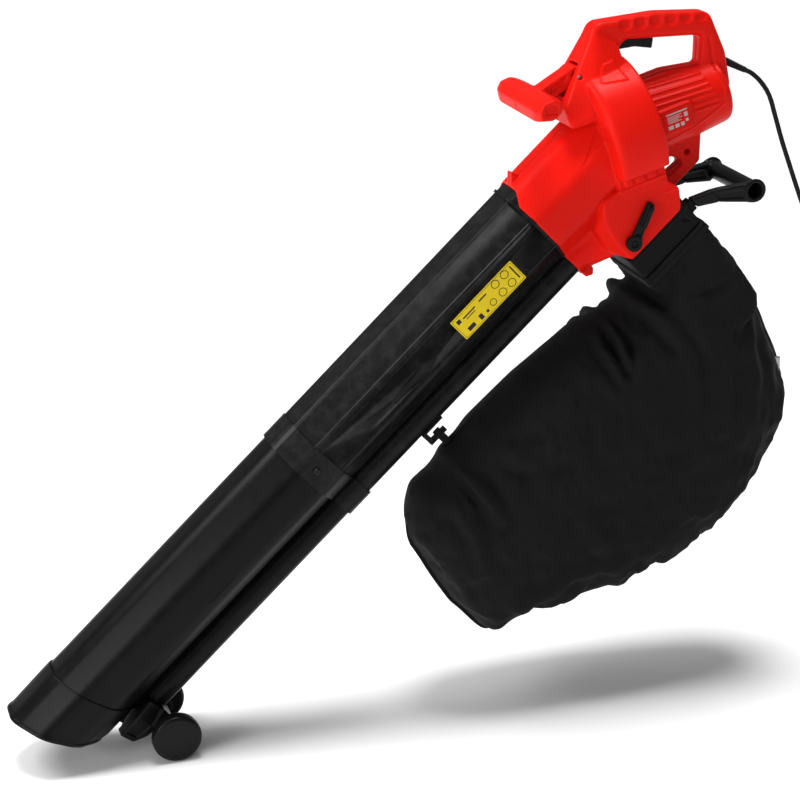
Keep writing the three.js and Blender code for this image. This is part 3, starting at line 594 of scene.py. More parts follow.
def drum(inset, edge, flank=0.0):
    """The fan casing, cut in below where the outlet chamber is narrower than it is."""
    low, high, body = lathe(fan_profile(inset, edge))
    return low, high, lambda x, y, z: soft_max(
        body(x, y, z), np.minimum(np.abs(y) - OUTLET_HALF + flank, flank - z - 42), 1.5)


def meet(a, b):
    """What two shapes of one frame share."""
    return a[0], a[1], lambda x, y, z: np.maximum(a[2](x, y, z), b[2](x, y, z))


def outlet_block(points, inset):
    """The outlet chamber's form: its front and upper edges slope back to both sides."""
    half = OUTLET_HALF - inset
    edges = [(u + (13 if u < 367 and v > -100 else 0), half, v) for u, v in points]
    return wedge(edges + [(u, 47 - inset, v) for u, v in points], 2)


def before_fan(shape, depth):
    """A shape of the tube frame that stops at a depth inside the fan casing."""
    low, high, body = shape
    m = MOTOR.inverted() @ TUBE
    return low, high, lambda x, y, z: np.maximum(body(x, y, z), m[0][0] * x + m[0][2] * z + m[0][3] - depth)


def housing():
    """Both clamshell halves from one body: duct, drum, motor, outlet, handle and loop."""
    form = Form(DATUM, (150, -99, 146), (464, 99, 502), FINE)
    form.add(before_fan(octagon_bar(SOCKET_FLATS, SOCKET, DUCT_END, 28, 1.5), 12), TUBE)
    form.add(drum(0, 11), MOTOR, 1.5)
    form.add(lathe(motor_profile(0, 191)), MOTOR, 2)
    form.add(block(82, 128, -52.5, -30, -17, 17, 1), MOTOR, 1)
    form.add(outlet_block(OUTLET, 0), TUBE, 2)
    form.add(rod_x(25.5, SOCKET, 350, 0, BLOWER_Z, 1.2), TUBE, 2)
    form.add(wedge([(SOCKET, 20, -58), (352, 27, -50), (352, 27, -72), (SOCKET, 20, -74), (SOCKET, 12, -102),
                    (352, 22, -104)], 2), TUBE, 2)
    form.add(wedge([(295, 22, -88), (350, 30, -80), (350, 40, -112), (303, 12, -104)], 2), TUBE, 2)
    lower_lug = [(291, 7, -100), (307, 7, -100), (291, 7, -114), (300, 7, -119), (307, 7, -112)]
    upper_lug = [(293, 9, 58), (293, 9, 84), (306, 8, 86), (316, 8, 74), (322, 8, 58)]
    form.add(wedge(lower_lug, 1.5), TUBE, 1)
    form.add(wedge(upper_lug, 1.5), TUBE, 2)
    form.add(slab(HANDLE, -17, 17, 9, (WINDOW,)))
    form.add(wedge(PILLAR, 3), None, 2.5)
    form.add(wedge(SPINE, 4), None, 1)
    form.add(slab(LOOP, -13, 13, 2.5, (LOOP_WINDOW,)), None, 1.5)
    form.cut(rod_y(4, -20, 20, 398, 311, 0.3), None, 1)
    surface_details(form)
    hollow_out(form)
    far = form.half(1)
    for x, z, y in SCREWS[1:]:
        far.cut(rod_y(4.2, y - 2, y + 30, x, z, 0.3), None, 0.6)
    form.half(-1).piece("housing_shell_near", "red_plastic", "machine", ("housing_near",))
    far.piece("housing_shell_far", "red_plastic", "machine", ("housing_far",))


def surface_details(form):
    """Panels, ribs, steps and finger dimples."""
    for side in (-1, 1):
        y0, y1 = pair(side, 8, 80)
        form.emboss(slab([(262, 440), (277, 446), (288, 424), (254, 419)], y0, y1, 0.3), 1.2)
        form.emboss(slab([(380, 27), (434, 45), (434, 33)], y0, y1, 0.3), -1.3, TUBE)
        for k in range(3):
            form.add(block(9 + 17 * k, 20 + 17 * k, *pair(side, 60, 67), -56, -45, 1.2), MOTOR, 0.6)
        for k in range(6):
            along = 21.5 * k
            form.cut(rod_y(8.5, *pair(side, 13.5, 30), 300 + along, 487 + 0.055 * along, 4), None, 3)
        form.add(block(-2, 64, *pair(side, 60, 65.6), -62, -59, 0.8), MOTOR, 0.6)
        form.emboss(slab([(417, 464), (422, 464), (431, 420), (426, 420)], y0, y1, 0.3), -1.6)
        for k in range(7):
            z0 = 45 - 7.2 * k
            rib = [(74, z0), (74, z0 + 2.4), (160 + 2 * k, z0 - 4.6), (160 + 2 * k, z0 - 7)]
            if k > 3:  # these start beyond the rating label
                rib[:2] = [(132, z0 - 4), (132, z0 - 1.6)]
            form.emboss(slab(rib, y0, y1, 0.3), 1.5, MOTOR)
        rim = [(72, -31), (128, -24), (178, -8), (185, 12), (181, 34), (178.5, 34), (182, 12), (176, -5.5),
               (127, -21.5), (72, -28.5)]
        form.emboss(slab(rim, y0, y1, 0.3), 1.6, MOTOR)
        form.emboss(slab([(341, 271), (343, 274), (361, 279), (362, 276)], y0, y1, 0.2), 1.4)


def hollow_out(form):
    """Air paths and the room for motor, switch, tube ends, shaft and cable, as in the CAD part."""
    seated = SOCKET + 34.3
    form.cut(octagon_bar(FLATS + 0.6, SOCKET - 5, seated, 13, 0.2), TUBE)
    form.cut(before_fan(octagon_bar(FLATS - 5, SOCKET, DUCT_END, 12, 0.2), 6), TUBE)
    form.cut(rod_x(BLOWER_R + 0.3, SOCKET - 5, seated, 0, BLOWER_Z), TUBE)
    form.cut(rod_x(BLOWER_R - 2.5, SOCKET, 352, 0, BLOWER_Z), TUBE)
    form.cut(meet(slab(CHAMBER, -OUTLET_HALF + 3, OUTLET_HALF - 3, 0.5), outlet_block(CHAMBER, 3)), TUBE)
    form.cut(block(SOCKET - 5, seated, -6.3, 6.3, BLOWER_Z, -56.5), TUBE)
    form.cut(rod_y(5, -OUTLET_HALF - 2, OUTLET_HALF - 3.5, *LEVER, 0.3), TUBE)
    form.cut(drum(3, 8, 1.7), MOTOR)
    form.cut(lathe(motor_profile(3, 188)), MOTOR)
    form.cut(rod_x(44, -4, 8, 0, 0, 0.3), MOTOR)
    form.cut(slab([(272, 470), (300, 476), (420, 474), (424, 488), (345, 490), (274, 482)], -10, 10, 1))
    form.cut(slab([(418, 480), (428, 478), (442, 435), (446, 395), (420, 395), (420, 440)], -10, 10, 1))
    form.cut(block(289, 347, -7, 7, 440, 480, 0.5))
    form.cut(rod_x(5.6, -30, 30, 0, 0, 0.3), CABLE)
    form.cut(rod_y(15, -14, 14, *GRIP_PIVOT, 0.3))
    form.cut(block(180, 234, -14, 14, 397, 439, 0.3))
    form.cut(rod_y(3.2, -40, 40, *GRIP_PIVOT, 0.3))


# ---- crisp solids from rings and booleans ----
def temp_object(points, faces, where):
    """A helper solid; points in millimetres of a frame."""
    mesh = bpy.data.meshes.new("tool")
    mesh.from_pydata([row(where, p) for p in points], [], faces)
    face_outward(mesh, True)
    return put("tool", mesh)


def loft(rings, where, closed=False):
    """Skin over rings of equal count; capped at both ends, or closed into a hollow tube."""
    n = len(rings[0])
    points = [p for ring in rings for p in ring]
    faces = []
    last = len(rings) if closed else len(rings) - 1
    for k in range(last):
        a, b = k * n, (k + 1) % len(rings) * n
        faces += [(a + i, a + (i + 1) % n, b + (i + 1) % n, b + i) for i in range(n)]
    if not closed:
        faces += [tuple(range(n)), tuple(reversed(range((len(rings) - 1) * n, len(rings) * n)))]
    return temp_object(points, faces, where)


def octagon_ring(flats, corner):
    reach = flats / 2 / math.cos(math.pi / 8)
    turns = [math.pi / 8 + k * math.pi / 4 for k in range(8)]
    corners = [(reach * math.cos(a), reach * math.sin(a)) for a in turns]
    return rounded(corners, corner, 4)


def octagon_tube(flats, wall, x0, x1, corner=13.0, slope=0.0):
    """A hollow octagonal tube along X of the tube frame, whose first end may slant."""
    outer, inner = octagon_ring(flats, corner), octagon_ring(flats - 2 * wall, corner - wall / 2)

    def at(x, ring, tilt=0.0):
        return [(x - tilt * v, u, v) for u, v in ring]
    return loft([at(x0, outer, slope), at(x1, outer), at(x1, inner), at(x0, inner, slope)], TUBE, True)


def circle(radius, sides=48):
    return [(radius * math.cos(2 * math.pi * k / sides), radius * math.sin(2 * math.pi * k / sides))
            for k in range(sides)]


def revolve(profile, where, axis="x", at=(0, 0, 0), sides=48):
    """A profile of [along, radius] points turned about an axis through a point; radii above zero."""
    rings = []
    for along, radius in profile:
        ring = []
        for u, v in circle(radius, sides):
            p = {"x": (along, u, v), "y": (v, along, u), "z": (u, v, along)}[axis]
            ring.append(tuple(a + b for a, b in zip(p, at)))
        rings.append(ring)
    return loft(rings, where)


def around(start, end, outer, inner):
    """The four rings of a hollow tube: along its outside, then back along its inside."""
    return (start, outer), (end, outer), (end, inner), (start, inner)


def tube_along(x0, x1, outer, inner):
    """A hollow tube along the X axis of the tube frame, between two outlines."""
    return loft([[(x, u, v) for u, v in ring] for x, ring in around(x0, x1, outer, inner)], TUBE, True)


def pipe(outer, inner, x0, x1):
    """A hollow round tube round the blower tube's axis."""
    return tube_along(x0, x1, *([(u, v + BLOWER_Z) for u, v in circle(r)] for r in (outer, inner)))


def drill(radius, x0, x1):
    """A round tool along the axis of the blower tube."""
    return revolve([(x0, radius), (x1, radius)], TUBE, at=(0, 0, BLOWER_Z))


def prism(outline, y0, y1, where):
    """An outline in XZ drawn out from y0 to y1."""
    return loft([[(u, y, v) for u, v in outline] for y in (y0, y1)], where)


def cuboid(x0, x1, y0, y1, z0, z1, where):
    return prism(rectangle(x0, x1, z0, z1), y0, y1, where)


def carve(name, base, slot, body, replaces=(), adds=(), cuts=(), bevel=0.0, angle=32):
    """Booleans applied to a base solid, with softened edges and flat shading on its flat sides."""
    base.name = base.data.name = name
    for kind, tools in (("UNION", adds), ("DIFFERENCE", cuts)):
        for tool in tools:
            step = base.modifiers.new("b", "BOOLEAN")
            step.operation, step.solver, step.object = kind, "MANIFOLD", tool
    if bevel:
        soft = base.modifiers.new("edges", "BEVEL")
        soft.width, soft.segments = bevel * MM, 2
        soft.limit_method, soft.angle_limit = "ANGLE", math.radians(angle)
        soft.use_clamp_overlap, soft.harden_normals = True, False
    even = base.modifiers.new("normals", "WEIGHTED_NORMAL")
    even.keep_sharp, even.weight = True, 80
    base.data.shade_smooth()
    apply_modifiers(base)
    base.data.name = name
    for tool in list(adds) + list(cuts):
        mesh = tool.data
        bpy.data.objects.remove(tool)
        bpy.data.meshes.remove(mesh)
    finish_piece(base, slot, body, replaces)


# ---- tubes ----
def tapered_ring(flats):
    """The sleeve's outline at its mouth: slightly narrower, and drawn up below."""
    return [(u * 0.97, v * (0.985 if v > 0 else 0.74)) for u, v in octagon_ring(flats, SOFT_CORNER)]


def arrow(x0, x1, z, half, head, thick):
    """An arrow's outline, pointing along X."""
    return [(x0, z - thick), (x1 - head, z - thick), (x1 - head, z - half), (x1, z), (x1 - head, z + half),
            (x1 - head, z + thick), (x0, z + thick)]


def make_tubes():
    """The lower and the upper tube, each with its blower tube; the upper one has the joint's skirt."""
    bore = BLOWER_R - 2.5
    flat = -FLATS / 2
    end = JOINT - 0.3
    body = octagon_tube(FLATS, 2.5, -590, end, SOFT_CORNER, 0.25)
    web = cuboid(-532, end, -6, 6, BLOWER_Z + 4, flat + 1, TUBE)
    blower = pipe(BLOWER_R, bore, -546, end)
    groove = prism(rectangle(-362, -316, -17, -15.6), -60, -56.1, TUBE)
    # painted shade: the lower tube takes the darker copy of the black plastic
    carve("lower_tube_shell", body, "deep_black", "machine", ("lower_tube",), [web, blower],
          [drill(bore, -547, -100), groove], 0.4)

    low, top = JOINT - 36, SOCKET + 34  # where the joint's skirt starts and where the tube ends
    skirt = octagon_tube(FLATS + 6, 2.7, low, JOINT + 0.5, SOFT_CORNER)
    outer, inner = octagon_ring(FLATS + 6, SOFT_CORNER), octagon_ring(FLATS - 5, 12)
    shoulder = tube_along(JOINT - 1, JOINT + 4, outer, inner)
    rim = octagon_tube(FLATS + 5, 5, SOCKET - 4, SOCKET - 0.3, 15)
    seat = octagon_ring(FLATS + 0.6, SOFT_CORNER)
    adds = [skirt, shoulder, rim,
            pipe(BLOWER_R, bore, JOINT, top), pipe(23.5, 20.8, low, JOINT + 0.5),
            pipe(23.5, bore, JOINT, JOINT + 4),
            cuboid(JOINT, top, -6, 6, BLOWER_Z + 4, flat + 1, TUBE),
            cuboid(low + 2, JOINT + 1, -9, 9, BLOWER_Z + 6, flat - 0.8, TUBE)]
    cuts = [drill(20.8, low - 1, JOINT), drill(bore, JOINT - 1, SOCKET + 40),
            loft([[(x, u, v) for u, v in seat] for x in (low - 1, JOINT)], TUBE),
            cuboid(low - 1, JOINT, -6.3, 6.3, BLOWER_Z, flat + 1, TUBE),
            prism(arrow(-6, 76, -8, 9, 24, 4), -60, -56.9, TUBE)]
    carve("upper_tube_shell", octagon_tube(FLATS, 2.5, JOINT, top), "black_plastic", "machine",
          ("upper_tube",), adds, cuts, 0.4)


def make_sleeve():
    """The sleeve over the lower tube's end narrows to the slanted mouth and its rolled lip."""
    inner, thick = FLATS + 0.6, 2.0

    def ring(x, slope, flats):
        out = []
        full, small = octagon_ring(flats, SOFT_CORNER), tapered_ring(flats)
        for (u, v), (p, q) in zip(full, small):
            at = x - slope * v
            t = min(1, max(0, (-590 - at) / 65))
            out.append((at, u * (1 - t) + p * t, v * (1 - t) + q * t))
        return out
    lip, body = inner + 2 * thick + 2.4, inner + 2 * thick
    # each ring's place, slope and width across flats: the lip, the outside, then the inside back to the lip
    stations = [(-631, 0.4, inner + 1.2), (-631.6, 0.4, lip - 1.5), (-630.4, 0.4, lip), (-626, 0.4, lip),
                (-624.6, 0.4, body), (-610, 0.36, body), (-590, 0.32, body), (-574, 0.28, body),
                (-559, 0.25, body), (-558, 0.25, body - 1.2), (-558, 0.25, inner), (-574, 0.28, inner),
                (-590, 0.32, inner), (-610, 0.36, inner), (-629, 0.4, inner)]
    sleeve = loft([ring(*station) for station in stations], TUBE, True)
    # painted shade: the sleeve takes the darker copy of the black plastic
    carve("nozzle_sleeve_shell", sleeve, "deep_black", "machine", ("nozzle_sleeve",), (),
          [drill(BLOWER_R + 0.3, -547, -500)], 0.3, 50)


# ---- smaller pieces ----
SMALL = 1.0  # grid step, in mm


def make_front_grip():
    """The tilting crossbar with its arm, in two halves."""
    form = Form(DATUM, (148, -81, 366), (252, 81, 442), SMALL)
    section = [(159, 379), (179, 379), (193, 391), (193, 405), (178, 411), (162, 405), (156, 393)]
    crossbar = [(x, 63, z) for x, z in section]
    crossbar += [(176 + (x - 176) * 0.8, 79, 397 + (z - 397) * 0.8) for x, z in section]
    form.add(wedge(crossbar, 1.8))
    form.add(rod_y(12, -13.7, 13.7, *GRIP_PIVOT, 1.5), None, 1)
    neck = [(182, 13.7, 388), (182, 13.7, 406), (230, 13.7, 435), (238, 13.7, 413), (226, 13.7, 416)]
    form.add(wedge(neck, 2), None, 3)
    for side in (-1, 1):
        y0, y1 = pair(side, 12.2, 20)
        form.cut(slab([(199, 402), (201, 410), (221, 423), (219, 415)], y0, y1, 0.5), None, 1)
        form.cut(rod_y(6.5, y0, y1, *GRIP_PIVOT, 0.4), None, 0.5)
        end = [(168, 390), (184, 391), (185, 402), (176, 405), (167, 400)]
        form.cut(slab(end, *pair(side, 77.6, 90), 0.5), None, 0.8)
    form.cut(rod_y(3.3, -60, 60, *GRIP_PIVOT, 0.2))
    for name, side in SIDES:
        half = form.half(side, 0.9)
        half.piece("front_grip_shell_" + name, "red_plastic", "front_grip", ("front_grip_" + name,))


def make_wheels():
    """The bracket below the blower tube's outlet, and the wheels on its axle."""
    form = Form(TUBE, (-590, -46, -134), (-508, 46, -60), SMALL)
    form.add(wedge([(-582, 33, -68), (-580, 27, -92), (-548, 40, -64), (-520, 34, -64), (-520, 30, -102),
                    (-560, 30, -101)], 1.5))
    wx, wz, radius = WHEEL
    form.add(wedge([(wx - 11, 38, wz - 6), (wx + 11, 38, wz - 6), (wx - 14, 38, -92), (-516, 38, -84),
                    (wx - 5, 38, wz - 11), (wx + 5, 38, wz - 11)], 1.5), None, 1.5)
    for side in (-1, 1):
        y0, y1 = pair(side, 27, 45)
        form.emboss(slab([(-574, -72), (-548, -70), (-548, -92), (-572, -90)], y0, y1, 0.3), -3)
        form.emboss(rod_y(9.5, y0, y1, wx, wz, 0.3), 1.2)
    form.cut(block(-600, -500, -27, 27, -140, -103.5, 1))
    form.cut(rod_x(BLOWER_R + 0.3, -546.3, -500, 0, BLOWER_Z, 0.2))
    form.cut(rod_x(BLOWER_R - 2, -640, -545, 0, BLOWER_Z, 0.2))
    form.cut(octagon_bar(FLATS + 8, -700, -480, 13, 0.2))
    form.cut(block(-560, -500, -6.3, 6.3, BLOWER_Z, -50, 0.2))
    form.cut(rod_y(4.3, -60, 60, wx, wz, 0.2))
    form.piece("wheel_bracket", "black_plastic", "machine", ("wheel_carrier",))
    tread = [(0, 5), (1.6, 2), (4, 0.6), (7, 0), (14, 0), (17.4, 0.9), (19.2, 2.6), (20.2, 5), (20.4, 8.5),
             (19.9, 9), (19.9, 10), (20.5, 10.6)]
    profile = [(0, 4.3), (0, 13), (1.2, 14), (1.2, 25), (0, 26)]
    profile += [(along, radius - down) for along, down in tread] + [(21, 8), (21, 0.4)]
    for name, side in SIDES:
        made = revolve([(side * (45 + a), r) for a, r in profile], TUBE, "y", (wx, 0, wz), 72)
        bore = revolve([(side * 44, 4.3), (side * 61, 4.3)], TUBE, "y", (wx, 0, wz), 32)
        carve("wheel_disc_" + name, made, "black_plastic", name + "_wheel", ("wheel_" + name,), (), [bore])


def make_lever():
    """The mode lever with its raised grip and the cross in its hub."""
    x, z = LEVER
    form = Form(TUBE, (346, -79, -114), (424, -62, -62), SMALL * 0.75)
    turned = TUBE @ Matrix.Translation((x, 0, z)) @ Matrix.Rotation(-LEVER_TURN, 4, "Y")
    form.add(rod_y(11, -71.6, -64.6, x, z, 1.2))
    arm = [(-4, -7), (12, -6.8), (24, -5.6), (57, -5, 3), (58, 5, 3), (10, 7), (-4, 7)]
    form.add(slab(rounded(arm), -70.6, -64.6, 1), turned, 1)
    form.add(slab(rounded([(22, -4.6), (54, -4.2), (54, 1.6), (24, 1.6)], 2), -76.2, -68, 1.2), turned, 1)
    form.emboss(slab([(12, -4), (24, -3.5), (24, 3), (12, 4)], -80, -60, 0.4), -1.2, turned)
    form.emboss(slab([(26, 3), (54, 2.8), (54, 4), (26, 4.4)], -80, -60, 0.2), -0.9, turned)
    form.cut(rod_y(5.2, -73, -69.9, x, z, 0.3), None, 0.4)
    form.add(rod_y(3.9, -71.4, -68, x, z, 0.8))
    for a, b in ((2.6, 0.6), (0.6, 2.6)):
        form.cut(block(-a, a, -73, -70.2, -b, b, 0.2), turned)
    form.cut(rod_y(4.8, -67.6, -59.6, x, z, 0.2))
    form.piece("mode_lever_knob", "black_plastic", "diverter", ("mode_lever",), 1)


def make_collar():
    """The bag's collar with its two ridges and lugs, and its latch."""
    top, x0, x1 = -117.1, 341, 447
    form = Form(TUBE, (337, -64, -156), (459, 64, -113), SMALL * 1.2)
    form.add(block(x0, x1, -61, 61, top - 35, top, 2.5))
    for z in (top - 4, top - 31):
        form.add(block(x0 - 0.8, x1 + 0.8, -61.8, 61.8, z - 1.2, z + 1.2, 0.6), None, 0.5)
    for side in (-1, 1):
        form.add(block(445, 456, *pair(side, 40, 56), top - 20, top - 3, 1.5), None, 2)
        tri = [(427, -129), (437, -129), (437, -140)]
        form.emboss(slab(tri, *pair(side, 58, 66), 0.2), -1.6)
    form.cut(block(x0 + 8, x1 - 8, -57, 57, top - 40, top + 5, 1))
    form.piece("collar_frame", "matt_black", "bag_unit", ("bag_collar",))
    latch = Form(TUBE, (444, -20, -144), (457, 20, -119), SMALL * 0.8)
    latch.add(block(447.3, 454, -16, 16, -140, -122, 1.2))
    for k in range(4):
        latch.cut(rod_y(1.1, -11, 11, 454.3, -137 + 4 * k, 0.2), None, 0.4)
    latch.piece("latch_tab", "black_plastic", "bag_unit", ("bag_latch",), 1)


def make_carry_handle():
    """Two bent arms with a round crossbar between them, bored at its ends."""
    cx, cz = 526, -177
    form = Form(TUBE, (453, -70, -196), (546, 70, -114), SMALL * 1.2)
    form.add(rod_y(12, -65, 65, cx, cz, 1))
    for side in (-1, 1):
        def across(a, b, points):
            return [(x, side * y, z) for x, z in points for y in (a, b)]
        elbow = across(45, 59, [(489, -136), (482, -154)])
        form.add(hull(across(41, 55, [(456.5, -121), (456.5, -137)]) + elbow, 3), None, 2)
        form.add(hull(elbow + across(51, 66, [(520, -157), (529, -165), (512, -185)]), 3), None, 2)
        y0, y1 = pair(side, 62, 66)
        form.add(rod_y(16, y0, y1, cx, cz, 1.4), None, 3)
        form.cut(rod_y(10.5, *pair(side, 26, 70), cx, cz, 0.5), None, 1)
        dent = [(488, -142), (515, -163), (510, -174), (484, -150)]
        form.emboss(slab(dent, *pair(side, 40, 72), 0.4), -1.3)
    form.piece("carry_handle_frame", "black_plastic", "bag_unit", ("bag_carry_handle",))


def make_trigger():
    """The trigger, and the hook for the bag's strap."""
    form = Form(DATUM, (288, -9, 448), (348, 9, 475), SMALL * 0.7)
    outline = rounded([(291, 452, 3), (318, 455, 20), (343, 451.5, 2), (345, 472), (297, 472, 3),
                       (291, 466, 2)])
    form.add(slab(outline, -6.5, 6.5, 2))
    form.cut(rod_y(2.3, -10, 10, 298, 467.5, 0.2))
    form.piece("trigger_lever_shell", "black_plastic", "trigger_lever", ("trigger",), 1)
    hook = Form(TUBE, (-19, -9, -124), (25, 9, -97), SMALL * 0.8)
    plate = [(-16, 7, -99.4), (22, 7, -99.4), (-16, 7, -103.5), (22, 7, -103.5)]
    hook.add(wedge(plate, 0.8)).add(block(-16, -9, -6, 6, -118, -103, 1), None, 1)
    hook.add(block(-16, 14, -6, 6, -122, -117, 1.5), None, 1.5)
    hook.cut(rod_x(BLOWER_R + 0.3, -40, 60, 0, BLOWER_Z, 0.2))
    hook.piece("hook_finger", "black_plastic", "machine", ("bag_hook",), 1)


def make_cable_ends():
    """The ribbed sleeve where the cord leaves the handle, and the plug on its far end."""
    profile = [(-23, 0.4), (-23, 5.1), (-8, 5.1)]
    for k in range(7):
        x, r = -7.5 + 4 * k, 5.0 - 0.15 * k
        profile += [(x, r - 0.9), (x + 1.2, r - 0.9), (x + 1.5, r), (x + 3.2, r - 0.05)]
    profile += [(21.6, 4.0), (23, 3.8), (23, 0.4)]
    carve("cable_sleeve", revolve(profile, CABLE), "rubber", "machine", ("strain_relief",))
    x, y = PLUG
    top = 138.7
    profile = [(top, 0.4), (top, 4.8), (top - 1, 5.8), (top - 6, 6.6), (top - 12, 8.6), (top - 18, 11.6)]
    for k in range(3):
        z, r = top - 20 - 4 * k, 12.4 + 1.4 * k
        profile += [(z, r), (z - 1, r - 0.8), (z - 2.4, r - 0.5), (z - 3, r + 0.9)]
    profile += [(top - 33, 16.8), (top - 38.8, 17), (top - 40, 16), (top - 40, 0.4)]
    made = revolve(profile, DATUM, "z", (x, y, 0), 56)
    seats = [revolve([(70, 2.6), (106, 2.6)], DATUM, "z", (x + side * 9.5, y, 0), 24) for side in (-1, 1)]
    carve("plug_body", made, "rubber", "machine", ("plug",), (), seats)
    profile = [(104, 0.3), (104, 2.4), (82, 2.4), (80.2, 2.1), (79.1, 1.3), (79.1, 0.3)]
    for k, side in ((1, -1), (2, 1)):
        pin = revolve(profile, DATUM, "z", (x + side * 9.5, y, 0), 24)
        carve(f"plug_prong_{k}", pin, "copper", "machine", (f"plug_pin_{k}",))
    return [bpy.data.objects[n] for n in ("plug_body", "plug_prong_1", "plug_prong_2")]


def make_screws():
    screws = [(f"housing_screw_{k}", DATUM, x, y - 1.7, y + 1, z, 3.8)
              for k, (x, z, y) in enumerate(SCREWS, 1)]
    screws += [("tube_screw_" + name, TUBE, -139, side * 60.8, side * 64, 6, 4.5) for name, side in SIDES]
    for node, where, x, y0, y1, z, r in screws:
        t = 1 if y1 > y0 else -1
        profile = [(y0, 0.3), (y0, r), (y1 - t * 0.9, r), (y1 - t * 0.25, r - 0.9), (y1, r - 2.2), (y1, 0.3)]
        slot = sorted((y1 - t * 1.5, y1 + t))
        cross = ((r * 0.6, 0.5), (0.5, r * 0.6))
        tools = [cuboid(x - a, x + a, *slot, z - b, z + b, where) for a, b in cross]
        metal_look = "black_screw" if where is TUBE else "screw_steel"
        head = revolve(profile, where, "y", (x, 0, z), 36)
        carve(node + "_head", head, metal_look, BODY_OF[node], (node,), (), tools)


MARK_DEPTH = (-58.55, -58.3)  # along Y, of the marks on the sticker


def bar(u, v, width, height, y0, y1, where):
    """A printed bar about a middle point."""
    return cuboid(u - width / 2, u + width / 2, y0, y1, v - height / 2, v + height / 2, where)


def make_labels():
    """Plain stickers with a border or abstract marks, nothing that reads as a sign or a word."""
    sticker = prism(rounded(rectangle(119, 231, -22, 12), 2), -58.4, -57.8, TUBE)
    carve("tube_sticker", sticker, "yellow_label", "machine", ("upper_tube_label",), bevel=0.15)
    circles = [(196, 4, 6), (213, 4, 6), (213, -12, 6), (196, -12, 6), (178, -12, 5)]
    bars = [(146, 3, 22, 2), (146, -1, 16, 1.2), (172, 4, 14, 2), (136, -14, 12, 6), (154, -14, 6, 8),
            (165, -15, 4, 4), (225, -4, 2, 22), (128, 4, 6, 6)]
    marks = [flat_ring(u, v, r, r - 1) for u, v, r in circles]
    marks += [bar(*values, *MARK_DEPTH, TUBE) for values in bars]
    outer = rounded(rectangle(120.5, 229.5, -20.5, 10.5), 1.5)
    inner = rounded(rectangle(121, 229, -20, 10), 1.3)
    border = loft([[(u, y, v) for u, v in o] for y, o in around(-58.5, -58.3, outer, inner)], TUBE, True)
    carve("sticker_marks", border, "label_ink", "machine", (), marks)
    plate = prism(rounded(rectangle(86, 124, -14, 14), 2), -53.3, -52.8, MOTOR)
    carve("rating_film", plate, "red_plastic", "machine", ("rating_label",), bevel=0.12)
    bars = [(105, 9.5, 30, 1.8), (101, 6, 20, 0.9), (99, 4, 17, 0.9), (101, 2, 21, 0.9), (98, 0, 15, 0.9),
            (100, -2, 19, 0.9), (93, -8, 7, 5), (102, -8, 6, 5), (110, -8, 5, 5), (117, 3, 5, 6),
            (117, -5, 4, 4)]
    tools = [bar(*values, -53.42, -53.2, MOTOR) for values in bars]
    carve("rating_marks", tools[0], "silver_label", "machine", (), tools[1:])


def flat_ring(u, v, outer, inner):
    """A printed ring on the sticker."""
    rings = [[(u + a, y, v + b) for a, b in circle(r, 28)] for y, r in around(*MARK_DEPTH, outer, inner)]
    return loft(rings, TUBE, True)


# ---- cord ----
CORD_ROUTE = [(483.6, 0, 412.9), (492, -2, 408.6), (503, -7, 398), (514, -13, 380), (522, -19, 352),
              (530, -27, 320), (539, -36, 288), (550, -47, 250), (563, -57, 210), (573, -63, 175),
              (*PLUG, 140)]
CORD_RADIUS = 0.0032


def make_cord():
    data = bpy.data.curves.new("cord", "CURVE")
    data.dimensions, data.use_fill_caps = "3D", True
    data.bevel_depth, data.bevel_resolution = CORD_RADIUS, 5
    points = smooth_line([row(DATUM, p) for p in CORD_ROUTE], 3)
    spline = data.splines.new("POLY")
    spline.points.add(len(points) - 1)
    for point, at in zip(spline.points, points):
        point.co = (*at, 1)
    cord = put("cord", data)
    data.materials.append(MATERIALS["rubber"])
    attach(cord, "machine")
    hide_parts("power_cord")
    length = sum((b - a).length for a, b in zip(points, points[1:]))
    return cord, points[0], length


def smooth_line(points, steps):
    """Points of a curve through the given ones."""
    padded = [points[0] * 2 - points[1]] + list(points) + [points[-1] * 2 - points[-2]]
    out = []
    for a, b, c, d in zip(padded, padded[1:], padded[2:], padded[3:]):
        for k in range(steps):
            t = k / steps
            out.append(0.5 * (2 * b + (c - a) * t + (2 * a - 5 * b + 4 * c - d) * t * t
                              + (3 * b - a - 3 * c + d) * t ** 3))
    return out + [points[-1]]


# ---- bag ----
BAG_OUTLINE = rounded([
    (306, 130, 6), (300, 108, 10), (250, 86, 20), (160, 20), (92, -40, 10), (58, -92, 12), (12, -124, 25),
    (2, -168, 30), (9, -203), (44, -262), (74, -308, 20), (106, -336), (130, -350, 10), (172, -340),
    (246, -331), (317, -319), (388, -292), (458, -254, 30), (518, -196, 30), (568, -95, 30),
    (571, -36, 40), (553, 16), (521, 85), (486, 142), (462, 170, 12), (440, 178, 6)], 0, 4)
BAG_TOP = -152.4  # of the fabric, below the collar, in the tube frame
CLOTH_STEPS, MOST_MOVE = 20, 0.014
HALF_THICK, SWELL_WITHIN = 97, 150  # of the pillow before the cloth is simulated
THIN_FROM, THIN_BY = 66, 80  # half thickness beyond which the bag is pressed in, and how gently
OUTSIDE, LOOK_IN, EDGE_BELOW = 60, 0.14, 26  # how the bag's edge is looked for, and where it starts


